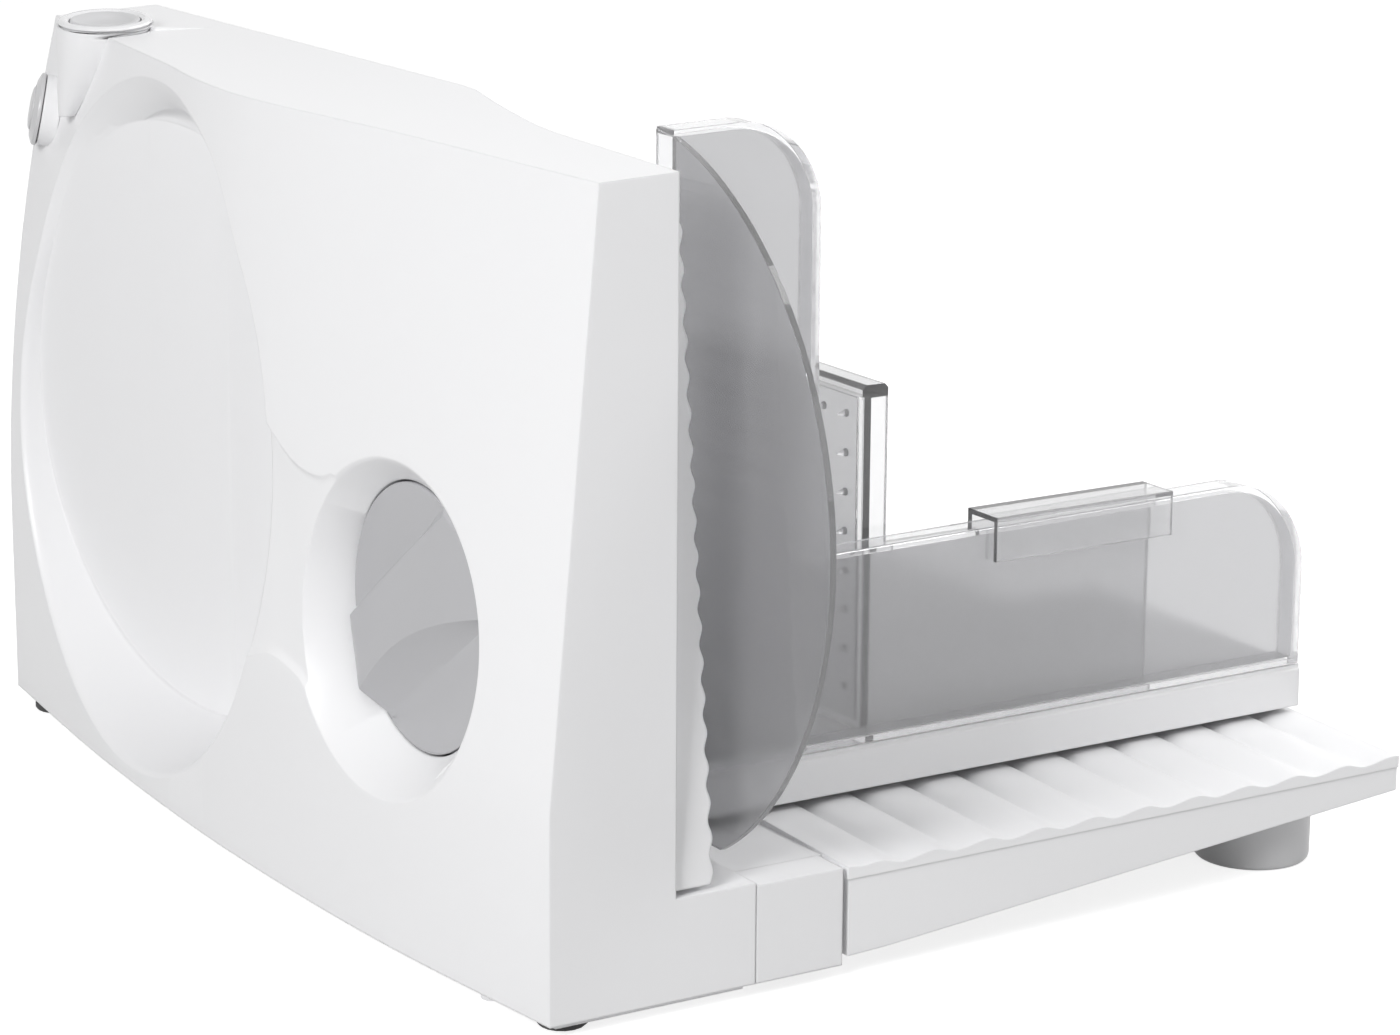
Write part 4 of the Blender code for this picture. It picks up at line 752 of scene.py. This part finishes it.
def make_shell():
    shell = housing_solid("housing_shell", 0.0, FOOT_H, STATION_STEP, LEVEL_STEP)
    join(shell, box("block", (30, 0, FOOT_H), (BLOCK_W, HOUSE_L - BLOCK_SHORT, BLOCK_TOP)))
    cut(shell, shell_inside())
    pad = turned_about("safety_pad", SB, SB_AXIS, [(SB_R - 0.4, -5.5), (SB_R - 0.4, 0.0)])
    join(shell, power_boss(), pad)
    cut(shell, dish_void("dish", 0.0, 48.0, 180))
    cut(shell, slot_void())
    back = turned("back", "X", (BLADE_Y, BLADE_Z),
                  [(POCKET_R - 23.5 * BACK_CONE, 36.0), (POCKET_R - 1.5 * BACK_CONE, 58.0)], 72)
    cut(shell, cut(back, ramp_side("side", WALL + 0.15)))
    cut(shell, far_opening("opening", 0.0, 56.9, 70))
    cut(shell, turned("clear", "X", (BLADE_Y, BLADE_Z),
                      [(BLADE_R + 2, BLADE_X - 0.25), (BLADE_R + 2, 66)], 120))
    cut(shell, prism("pocket", stop_outline(0.6), "X", 42.8, 80))
    near_open = [(NEAR_WALL, STOP_Z0 - 1.2), (NEAR_WALL, STOP_BEND_Z), (18.6, STOP_Z1 + 0.6),
                 (95, STOP_Z1 + 0.6), (95, STOP_Z0 - 1.2)]
    cut(shell, prism("near_open", near_open, "X", 32, 43.2))
    cut(shell, dial_void("dial", 0.0, 144))
    cut(shell, neck_void("neck", 0.0))
    hole_r = HUB_R + HUB_GAP
    cut(shell, turned("hub_hole", "X", (DIAL_Y, DIAL_Z), [(hole_r, 5), (hole_r, 20)], 48))
    cut(shell, turned("gland_hole", "Y", GLAND, [(GLAND_HOLE_R, 348), (GLAND_HOLE_R, 362)], 32))
    hole = turned_about("power_hole", PB, PB_AXIS,
                        [(11.6, -8.6), (11.6, -2.2), (PB_R - 0.4, -2.2), (PB_R - 0.4, 8)], 72)
    cut(shell, join(hole, switch_room()))
    cut(shell, turned_about("safety_hole", SB, SB_AXIS,
                            [(8.6, -22), (8.6, 0.0), (SB_R + 0.3, 0.0), (SB_R + 0.3, 8)], 72))
    finish_piece(shell, "housing", [WHITE], ["main_shell"])


def make_panel():
    panel = far_opening("blade_side_panel", PANEL_GAP, PANEL_X0, PANEL_X1)
    cut(panel, turned("hub", "X", (BLADE_Y, BLADE_Z), [(PANEL_HUB_R, 50), (PANEL_HUB_R, 70)], 64))
    for at in PANEL_SCREWS:
        cut(panel, turned("hole", "X", at, [(PANEL_SCREW_R, 50), (PANEL_SCREW_R, 70)], 20))
    soften(panel, 0.4, 2, 40)
    finish_piece(panel, "housing", [WHITE], ["side_panel"])


# Deck
def deck_height(x, y):
    # Soft waves at the near edge turn into sharp creases towards the carriage
    lift = min(y, WALL_Y) / WALL_Y
    base = DECK_FRONT_Z + (DECK_Z - DECK_FRONT_Z) * lift
    phase = ((x - WAVE_X) / WAVE) % 1.0
    if phase < WAVE_VALLEY:
        near = phase / WAVE_VALLEY
    else:
        near = 1 - (phase - WAVE_VALLEY) / (1 - WAVE_VALLEY)
    soft = 0.5 - 0.5 * cos(pi * near)
    sharp = near**4.5
    fall = 1.5 * soft * (1 - lift) + 2.4 * sharp * lift
    fade = min(1.0, max(0.0, (x - APRON_X - 2) / 6.0))
    return base - (0.3 + fall) * fade - 0.4 * (1 - fade)


def deck_outline(d):
    return [(DECK_X0 + d, DECK_Y0 + d), (APRON_X + d, DECK_Y0 + d), (APRON_X + d, d),
            (DECK_X1 - d, d), (DECK_X1 - d, DECK_Y1 - d), (DECK_X0 + d, DECK_Y1 - d)]


def make_deck():
    xs = sorted(set([round(x, 3) for x in steps(APRON_X, DECK_X1 - 0.1, WAVE / 14)]
                    + [round(WAVE_X + (k + WAVE_VALLEY) * WAVE, 3) for k in range(10)]))
    under = DECK_UNDER
    rings = []
    for y in steps(0.1, 50, 4.0) + [56.0, 58.0, DECK_Y1 - 0.1]:
        ring = [(x, y, deck_height(x, y) if y < WAVE_END_Y else DECK_FLAT) for x in xs]
        ring += [(xs[-1], y, under - 0.2), (xs[0], y, under - 0.2)]
        rings.append(ring)
    deck = loft("ribbed_deck", rings)
    join(deck, box("left", (DECK_X0, DECK_Y0, under - 0.1), (APRON_X + 1.7, DECK_Y1 - 0.2, 31.3)))
    join(deck, prism("sides", deck_outline(0.4), "Z", APRON_Z0, under + 1.1))
    cut(deck, prism("inside", deck_outline(2.8), "Z", -5, under))
    rise = (APRON_Z1 - APRON_Z0) / (DECK_X1 - APRON_X)
    below = [(40, -20), (320, -20), (320, APRON_Z0 + rise * (320 - APRON_X)),
             (APRON_X + 12.9, 6.6), (APRON_X - 5, 5.8), (APRON_X - 5, 10), (40, 10)]
    cut(deck, prism("below", below, "Y", -10, 400))
    for y in (DFOOT_NEAR, DFOOT_FAR):
        socket = [(DFOOT_R + 2.4, 22.5), (DFOOT_R + 2.4, under + 0.6)]
        seat = [(DFOOT_R + 0.2, 10), (DFOOT_R + 0.2, under - 0.2)]
        join(deck, turned("socket", "Z", (DFOOT_X, y), socket, 64))
        cut(deck, turned("seat", "Z", (DFOOT_X, y), seat, 64))
    cut(deck, box("guide", (SLOT_X - SLOT_W / 2, 70, 10), (SLOT_X + SLOT_W / 2, 343, 60)))
    soften(deck, 0.35, 2, 40)
    # The deck wears the copy of the white plastic that is painted lighter
    finish_piece(deck, "housing", [DECK_WHITE_PAINTED_LIGHT], ["deck"], 40)


def make_deck_foot(name, node, y):
    profile = [(DFOOT_R - 2.0, 0.0), (DFOOT_R - 0.8, 0.25), (DFOOT_R - 0.2, 0.9), (DFOOT_R, 1.8),
               (DFOOT_R, DECK_UNDER - 0.5)]
    foot = turned(name, "Z", (DFOOT_X, y), profile, 96)
    finish_piece(foot, "housing", [GREY], [node])


# Dial
def ridge_height(s, v, reach, top, low, crest):
    # s runs along the ridge, v across it; the face lies at 0 and the ridge rises from it
    along = min(1.0, max(0.0, (s + DIAL_R) / (2 * DIAL_R)))
    peak = RIDGE_H * (0.1 + 0.9 * along**0.65)
    deep = SCOOP * sin(pi * along) ** 0.6
    if v >= top - 1e-6:
        out = min(1.0, (v - top) / max(reach - top, 0.5))
        return -1.7 * sin(pi * along) * (1 - out)
    if v <= low + 1e-6:
        out = min(1.0, (low - v) / max(reach + low, 0.5))
        return -deep * (0.6 + 0.4 * sin(pi * out) - 0.3 * out)
    if v >= crest:
        fall = (top - v) / max(top - crest, 1e-6)
        return peak * (1 - 0.5 * (1 - fall) ** 1.3)
    t = (crest - v) / max(crest - low, 1e-6)
    return peak - (peak + 0.6 * deep + 0.35) * (1 - (1 - t) ** 1.25)


def make_dial():
    along = Vector((0.0, 0.81, -0.586)).normalized()
    across = Vector((0.0, 0.586, 0.81)).normalized()
    centre = Vector((0.0, DIAL_Y, DIAL_Z))
    rim = DIAL_R - 0.35
    count = 96
    grid = []
    for i in range(count + 1):
        s = -rim * cos(pi * i / count)
        reach = sqrt(max(rim * rim - s * s, 0.0))
        u = (s + rim) / (2 * rim)
        crest_v = RIDGE_LOW + 0.8 + 12.4 * sin(0.72 * pi * u)
        low = max(-reach, min(reach, RIDGE_LOW))
        top = max(-reach, min(reach, RIDGE_TOP - 0.04 * (s + rim)))
        crest = max(low, min(top, crest_v))
        row = []
        for a, b, n in ((-reach, low, 6), (low, crest, 10), (crest, top, 14), (top, reach, 6)):
            row += [a + (b - a) * k / n for k in range(n)]
        row.append(reach)
        grid.append([(s, v, ridge_height(s, v, reach, top, RIDGE_LOW, crest_v)) for v in row])
    verts = []
    n = len(grid[0])
    for column in grid:
        for s, v, h in column:
            p = centre + along * s + across * v
            verts.append((DIAL_X - h, p.y, p.z))
    faces = []
    for i in range(count):
        for k in range(n - 1):
            a = i * n + k
            faces.append((a, a + 1, a + n + 1, a + n))
    last = len(grid) - 1
    border = [i * n for i in range(last + 1)] + [last * n + k for k in range(1, n)]
    border += [i * n + n - 1 for i in range(last - 1, -1, -1)] + list(range(n - 2, 0, -1))
    start = len(verts)
    for r, x in ((DIAL_R, DIAL_X + 0.5), (DIAL_R, DIAL_X + DIAL_T)):
        for b in border:
            y, z = verts[b][1] - DIAL_Y, verts[b][2] - DIAL_Z
            d = sqrt(y * y + z * z)
            verts.append((x, DIAL_Y + y / d * r, DIAL_Z + z / d * r))
    m = len(border)
    for j in range(m):
        k = (j + 1) % m
        faces.append((border[j], border[k], start + k, start + j))
        faces.append((start + j, start + k, start + m + k, start + m + j))
    faces.append(tuple(start + m + j for j in range(m)))
    dial = mesh_object("dial_knob", verts, faces)
    hub = [(HUB_R, DIAL_X + 3.8), (HUB_R, 17.4), (6.0, 17.4), (6.0, 40.0)]
    join(dial, turned("hub", "X", (DIAL_Y, DIAL_Z), hub, 48))
    finish_piece(dial, "dial", [SILVER], ["thickness_dial"], 22)


def make_marks():
    # Plain strokes moulded on the slope below the dial
    for k, degrees in enumerate(MARK_ANGLES):
        a = radians(degrees)
        side = Vector((0, -sin(a), cos(a)))
        outward = Vector((0, -cos(a), -sin(a))) - Vector((1, 0, 0))
        verts = [Vector(recess_point(a, t)) + side * w + outward * lift
                 for t in (0.42, 0.68) for w in (-0.28, 0.28) for lift in (0.1, -0.3)]
        faces = [(0, 1, 3, 2), (4, 6, 7, 5), (0, 4, 5, 1), (2, 3, 7, 6), (0, 2, 6, 4), (1, 5, 7, 3)]
        piece = mesh_object("dial_mark_%d" % (k + 1), verts, faces)
        finish_piece(piece, "housing", [MARK], ())


# Stop plate
def make_stop_plate():
    z = STOP_Z0 - 3
    outline = [(STOP_X - 2.5, STOP_Z1 + 5), (STOP_X - 2.5, z)]
    while z < STOP_Z1 + 5:
        outline.append((STOP_X + RIB_A * cos(2 * pi * z / RIB_PITCH), z))
        z += RIB_PITCH / 12
    plate = prism("ribbed_stop_plate", outline, "Y", -5, 260)
    keep(plate, prism("shape", stop_outline(0.0), "X", STOP_X - 5, STOP_X + 5))
    x0 = STOP_X - STOP_SKIRT
    near = [(STOP_NEAR, STOP_Z0), (STOP_NEAR, STOP_BEND_Z), (19.2, STOP_Z1), (21.3, STOP_Z1),
            (3.9, STOP_BEND_Z), (3.9, STOP_Z0)]
    join(plate, prism("near_skirt", near, "X", x0, STOP_X - 1.5))
    join(plate, box("top_skirt", (x0, 19.4, STOP_Z1 - 2), (STOP_X - 1.5, 135, STOP_Z1)))
    join(plate, box("low_skirt", (x0, 2.1, STOP_Z0), (STOP_X - 1.5, 128, STOP_Z0 + 2)))
    soften(plate, 0.3, 2, 50)
    finish_piece(plate, "stop", [WHITE], ["stop_plate"])


# Carriage
def arc(cx, cz, r, a0, a1, count):
    pts = []
    for i in range(count + 1):
        a = radians(a0 + (a1 - a0) * i / count)
        pts.append((cx + r * cos(a), cz + r * sin(a)))
    return pts


def wall_outline(d):
    x0 = GUARD_X + 0.35 + d
    x2 = TALL_X - d
    x3 = LOW_X - d
    z0 = BASE_Z1 + 0.3 + d
    pts = [(x0, z0), (x3, z0)]
    pts += arc(x3 - LOW_R + d, LOW_Z + 0.8 - LOW_R, LOW_R - d, 0, 90, 24)
    pts += [(x2, LOW_Z - 0.8 - d)]
    pts += arc(x2 - TALL_R + d, TALL_Z - TALL_R, TALL_R - d, 0, 90, 24)
    pts += [(x0, TALL_Z - d - 0.6)]
    return pts


def guard_outline():
    pts = []
    low = BASE_Z0 + 0.6
    a0 = atan2(low - GUARD_Z, -sqrt(GUARD_R**2 - (low - GUARD_Z) ** 2))
    a1 = atan2(sqrt(GUARD_R**2 - (WALL_Y - GUARD_Y) ** 2), WALL_Y - GUARD_Y)
    if a0 < 0:
        a0 += 2 * pi
    for i in range(97):
        a = a0 + (a1 - a0) * i / 96
        pts.append((GUARD_Y + GUARD_R * cos(a), GUARD_Z + GUARD_R * sin(a)))
    pts.append((WALL_Y + WALL_D - 0.3, TALL_Z - 1.3))
    pts.append((WALL_Y + WALL_D - 0.3, low))
    return pts


def pick_faces(obj, chosen, index):
    for poly in obj.data.polygons:
        c = poly.center
        p = (c.x / MM - SHIFT_X, c.y / MM - SHIFT_Y, c.z / MM)
        if chosen(p, poly.normal):
            poly.material_index = index


def make_carriage_wall():
    y1 = WALL_Y + WALL_D
    wall = prism("clear_wall", wall_outline(0.0), "Y", WALL_Y, y1)
    cut(wall, prism("inside", wall_outline(CLEAR_T), "Y", WALL_Y + CLEAR_T, y1 + 5))
    join(wall, prism("guard", guard_outline(), "X", GUARD_X, GUARD_X + CLEAR_T))
    finish_piece(wall, "carriage", [CLEAR, FROSTED], ["carriage_wall"], 25)
    pick_faces(wall, lambda p, n: abs(n.y) > 0.9 and WALL_Y + 1 < p[1] < WALL_Y + 3, 1)
    pick_faces(wall, lambda p, n: n.x > 0.9 and p[1] < WALL_Y + 5 and p[0] < GUARD_X + 3, 1)
    soften(wall, 0.45, 3, 40)


def make_carriage_base():
    base = box("carriage_slab", (BASE_X0, WALL_Y, BASE_Z0), (BASE_X1, BASE_Y1, BASE_Z1))
    step_end = (BASE_X1 + 5, WALL_Y + 0.5, BASE_Z1 + 1)
    cut(base, box("step", (BASE_X0 - 5, WALL_Y - 1, BASE_Z1 - 1.5), step_end))
    lo = (BASE_X0 + 2.5, WALL_Y + 2.5, BASE_Z0 - 5)
    inside = box("inside", lo, (BASE_X1 - 2.5, BASE_Y1 - 2.5, BASE_Z1 - 2.5))
    cut(inside, box("seat", (SLOT_X - 7, 72, BASE_Z0 - 6), (SLOT_X + 7, 146, BASE_Z1)))
    cut(base, inside)
    soften(base, 0.4, 2, 40)
    finish_piece(base, "carriage", [WHITE], ["carriage_base"])


# Remnant holder
def make_holder():
    z0 = BASE_Z1 + 0.6
    x1 = HOLD_X + HOLD_T
    body = box("spiked_holder", (HOLD_X, HOLD_Y0, z0), (x1, HOLD_Y1, HOLD_TOP - 2))
    cap = [(HOLD_X - 0.2, HOLD_TOP - 4), (x1, HOLD_TOP - 4), (x1, HOLD_TOP - 1.2),
           (x1 - 1.2, HOLD_TOP), (HOLD_X + 1.0, HOLD_TOP), (HOLD_X - 0.2, HOLD_TOP - 1.2)]
    join(body, prism("cap", cap, "Y", HOLD_Y0, HOLD_Y1))
    inside_end = (x1 + 5, HOLD_Y1 - 2, HOLD_TOP - 4)
    cut(body, box("inside", (HOLD_X + 3.5, HOLD_Y0 + 2, z0 - 5), inside_end))
    join(body, box("slide", (HOLD_X + 0.5, HOLD_Y0, z0), (SLIDE_X1, HOLD_Y0 + 2, SLIDE_TOP)))
    top = LOW_Z + 1.6
    join(body, box("back", (HOOK_X0, HOLD_Y0, SLIDE_TOP - 1), (HOOK_X1, HOLD_Y0 + 2, top + HOOK_T)))
    join(body, box("top", (HOOK_X0, WALL_Y - 2.8, top), (HOOK_X1, HOLD_Y0 + 1, top + HOOK_T)))
    flap_end = (HOOK_X1, WALL_Y - 1.2, top + 0.5)
    join(body, box("flap", (HOOK_X0, WALL_Y - 2.8, top - 11.5), flap_end))
    lo, hi = spike_plate_box(-0.3)
    cut(body, box("recess", (HOLD_X - 5, lo[1], lo[2]), (HOLD_X + SPIKE_T + 0.3, hi[1], hi[2])))
    finish_piece(body, "remnant", [TINTED], ["remnant_holder"], 25)
    soften(body, 0.3, 2, 40)


def spike_plate_box(less):
    lo = (HOLD_X, HOLD_Y0 + SPIKE_EDGE + less, BASE_Z1 + 0.6 + SPIKE_EDGE + less)
    return lo, (HOLD_X + SPIKE_T, HOLD_Y1 - SPIKE_EDGE - less, HOLD_TOP - 4 - less)


def make_spike_plate():
    plate = box("spiked_plate", *spike_plate_box(0.0))
    profile = [(0.12, HOLD_X - 3.2), (0.3, HOLD_X - 2.9), (0.85, HOLD_X - 0.9),
               (1.15, HOLD_X - 0.4), (1.15, HOLD_X + 0.2)]
    for i in range(SPIKE_COLUMNS):
        for j in range(SPIKE_ROWS):
            centre = (HOLD_Y0 + 8.0 + i * SPIKE, HOLD_TOP - 9.2 - j * SPIKE)
            join(plate, turned("spike", "X", centre, profile, 14))
    finish_piece(plate, "remnant", [SPIKED], ["spike_plate"], 25)


# Buttons
def make_buttons():
    ring = turned_about("power_button_ring", PB, PB_AXIS,
                        [(PB_R - 0.8, -1.9), (PB_R - 0.8, 0.25), (PB_R, 0.3), (PB_R, 0.5),
                         (PB_R - 0.35, 1.05), (PB_R - 1.2, 1.42), (PB_R - 2.2, 1.37),
                         (PB_R - 3.1, 0.7)], 96)
    cut(ring, turned_about("bore", PB, PB_AXIS, [(11.3, -5), (11.3, 5)], 96))
    finish_piece(ring, "housing", [RING], ["power_ring"])
    profile = [(10.9, -5.0), (10.9, 0.6), (10.7, 1.0), (10.2, 1.2), (9.6, 1.1), (8.4, 0.3),
               (7.4, -0.4), (6.4, -0.8), (4.0, -0.9), (0.2, -0.9)]
    button = turned_about("power_button_cap", PB, PB_AXIS, profile, 96)
    join(button, turned_about("stem", PB, PB_AXIS, [(2.4, -17.5), (2.4, -4.0)], 24))
    finish_piece(button, "power_push", [BUTTON], ["power_button"])
    ring = turned_about("safety_button_ring", SB, SB_AXIS,
                        [(8.3, -6.0), (8.3, 0.3), (SB_R, 0.3), (SB_R, 1.1), (SB_R - 0.25, 1.6),
                         (SB_R - 1.4, 2.1), (9.0, 2.6), (7.9, 2.75)], 96)
    cut(ring, turned_about("bore", SB, SB_AXIS, [(7.4, -9), (7.4, 6)], 72))
    finish_piece(ring, "housing", [BUTTON], ["safety_ring"])
    profile = [(7.0, -7.0), (7.0, 2.9), (6.7, 3.25), (5.8, 3.55), (4.0, 3.8), (0.3, 3.9)]
    button = turned_about("safety_button_cap", SB, SB_AXIS, profile, 72)
    join(button, turned_about("stem", SB, SB_AXIS, [(2.4, -15.5), (2.4, -6.0)], 24))
    finish_piece(button, "safety_push", [BUTTON], ["safety_button"])


def make_button_fillet():
    # The small raised drop that runs from the power button's ring along the top
    along = Vector((0.86, -0.5, 0.0)).normalized()
    start = Vector((PB[0], PB[1], 0.0)) + along * (PB_R - 0.6)
    side = Vector((along.y, -along.x, 0.0))
    rings = []
    for k in range(13):
        t = k / 12
        wide = 2.6 * (1 - t) ** 1.1 + 0.05
        ring = []
        for i in range(17):
            a = pi * i / 16
            p = start + along * (DROP_L * t) + side * (wide * cos(a))
            ring.append((p.x, p.y, top_z(p.x) - 0.4 + (0.45 + 0.9 * (1 - t) ** 1.2) * sin(a)))
        rings.append(ring)
    fillet = loft("button_fillet", rings)
    finish_piece(fillet, "housing", [WHITE], ())


# Blade
def make_blade():
    x0, x1 = BLADE_X, BLADE_X + BLADE_T
    disc = turned("steel_blade", "X", (BLADE_Y, BLADE_Z),
                  [(BLADE_R - 4.5, x0), (BLADE_R, x0 + 0.15), (BLADE_R - 4.5, x1)], 180)
    cut(disc, turned("hole", "X", (BLADE_Y, BLADE_Z), [(10.0, 50), (10.0, 70)], 64))
    finish_piece(disc, "blade_set", [STEEL], ["blade"], 10)
    x1 = BLADE_X + BLADE_T + 0.3
    profile = [(3.0, 54.0), (3.0, x1), (15.0, x1), (15.0, x1 + 0.9), (14.5, x1 + 1.4),
               (13.8, x1 + 1.6)]
    lock = turned("blade_screw", "X", (BLADE_Y, BLADE_Z), profile, 96)
    slot_end = (x1 + 4, BLADE_Y + 9, BLADE_Z + 1.2)
    cut(lock, box("slot", (x1 + 0.8, BLADE_Y - 9, BLADE_Z - 1.2), slot_end))
    finish_piece(lock, "blade_set", [STEEL], ["blade_lock"])


# Surroundings
def seen_ray(tree):
    # 1 for what is seen, also in a reflection or through the clear wall, and 0 for what only
    # lights the part
    paths = tree.nodes.new("ShaderNodeLightPath")
    seen = paths.outputs["Is Camera Ray"]
    for kind in ("Is Glossy Ray", "Is Transmission Ray"):
        either = tree.nodes.new("ShaderNodeMath")
        either.operation = "MAXIMUM"
        tree.links.new(seen, either.inputs[0])
        tree.links.new(paths.outputs[kind], either.inputs[1])
        seen = either.outputs["Value"]
    return seen


def make_stage():
    # The floor keeps the part's shadow, and glows just enough to be seen as white
    far = FLOOR_HALF
    corners = [(-far, -far, 0), (far, -far, 0), (far, far, 0), (-far, far, 0)]
    mesh = bpy.data.meshes.new("floor")
    mesh.from_pydata(corners, [], [(0, 1, 2, 3)])
    floor = bpy.data.objects.new("floor", mesh)
    bpy.context.collection.objects.link(floor)
    mat, tree, shader = new_material("floor_white")
    shader.inputs["Base Color"].default_value = (FLOOR_GREY, FLOOR_GREY, FLOOR_GREY, 1.0)
    shader.inputs["Roughness"].default_value = 0.9
    light = tree.nodes.new("ShaderNodeEmission")
    light.inputs["Strength"].default_value = FLOOR_GLOW
    add = tree.nodes.new("ShaderNodeAddShader")
    blend = tree.nodes.new("ShaderNodeMixShader")
    tree.links.new(shader.outputs["BSDF"], add.inputs[0])
    tree.links.new(light.outputs["Emission"], add.inputs[1])
    tree.links.new(seen_ray(tree), blend.inputs["Fac"])
    tree.links.new(shader.outputs["BSDF"], blend.inputs[1])
    tree.links.new(add.outputs["Shader"], blend.inputs[2])
    tree.links.new(blend.outputs["Shader"], tree.nodes["Material Output"].inputs["Surface"])
    mesh.materials.append(mat)


def make_world():
    scene_world = bpy.data.worlds.new("studio")
    bpy.context.scene.world = scene_world
    scene_world.use_nodes = True
    tree = scene_world.node_tree
    back = tree.nodes["Background"]
    back.inputs["Color"].default_value = (1.0, 1.0, 1.0, 1.0)
    back.inputs["Strength"].default_value = WORLD_LEVEL
    white = tree.nodes.new("ShaderNodeBackground")
    white.inputs["Color"].default_value = (1.0, 1.0, 1.0, 1.0)
    white.inputs["Strength"].default_value = 1.0
    blend = tree.nodes.new("ShaderNodeMixShader")
    tree.links.new(seen_ray(tree), blend.inputs["Fac"])
    tree.links.new(back.outputs["Background"], blend.inputs[1])
    tree.links.new(white.outputs["Background"], blend.inputs[2])
    tree.links.new(blend.outputs["Shader"], tree.nodes["World Output"].inputs["Surface"])


def area_light(name, place, aim, size, power):
    data = bpy.data.lights.new(name, "AREA")
    data.shape = "RECTANGLE"
    data.size = size[0]
    data.size_y = size[1]
    data.energy = power
    lamp = bpy.data.objects.new(name, data)
    bpy.context.collection.objects.link(lamp)
    lamp.location = place
    lamp.rotation_euler = (Vector(aim) - Vector(place)).to_track_quat("-Z", "Y").to_euler()


def make_lights():
    area_light("left_softbox", (-1.19, -0.65, 0.8), (-0.1, 0.0, 0.1), (0.5, 0.5), 13.5)
    area_light("top_softbox", (-0.3, -0.2, 1.5), (0.0, 0.0, 0.1), (1.2, 1.2), 2.5)
    area_light("right_softbox", (1.2, -0.4, 1.2), (0.05, 0.0, 0.1), (1.0, 1.0), 13.2)
    area_light("back_softbox", (1.5, 0.5, 0.9), (0.05, 0.05, 0.1), (0.8, 0.8), 6.0)
    area_light("front_fill", (0.3, -1.6, 0.6), (0.0, 0.0, 0.1), (1.2, 0.8), 2.5)


def make_camera():
    d = Vector((sin(CAM_YAW) * cos(CAM_PITCH), cos(CAM_YAW) * cos(CAM_PITCH), -sin(CAM_PITCH)))
    r = Vector((cos(CAM_YAW), -sin(CAM_YAW), 0.0))
    u = r.cross(d)
    right = r * cos(CAM_ROLL) + u * sin(CAM_ROLL)
    up = u * cos(CAM_ROLL) - r * sin(CAM_ROLL)
    data = bpy.data.cameras.new("camera")
    data.lens = CAM_LENS
    data.sensor_width = 36.0
    data.sensor_fit = "HORIZONTAL"
    data.clip_start = 0.05
    camera = bpy.data.objects.new("camera", data)
    bpy.context.collection.objects.link(camera)
    turn = Matrix((right, up, -d)).transposed().to_4x4()
    camera.matrix_world = Matrix.Translation(world(CAM_AT)) @ turn
    bpy.context.scene.camera = camera


def build():
    dress_cad_nodes()
    make_shell()
    make_panel()
    make_deck()
    make_deck_foot("round_foot_near", "deck_foot_near", DFOOT_NEAR)
    make_deck_foot("round_foot_far", "deck_foot_far", DFOOT_FAR)
    make_dial()
    make_marks()
    make_stop_plate()
    make_carriage_wall()
    make_carriage_base()
    make_holder()
    make_spike_plate()
    make_buttons()
    make_button_fillet()
    make_blade()
    make_stage()
    make_world()
    make_lights()
    make_camera()
    bpy.context.scene.view_settings.view_transform = "Standard"


build()
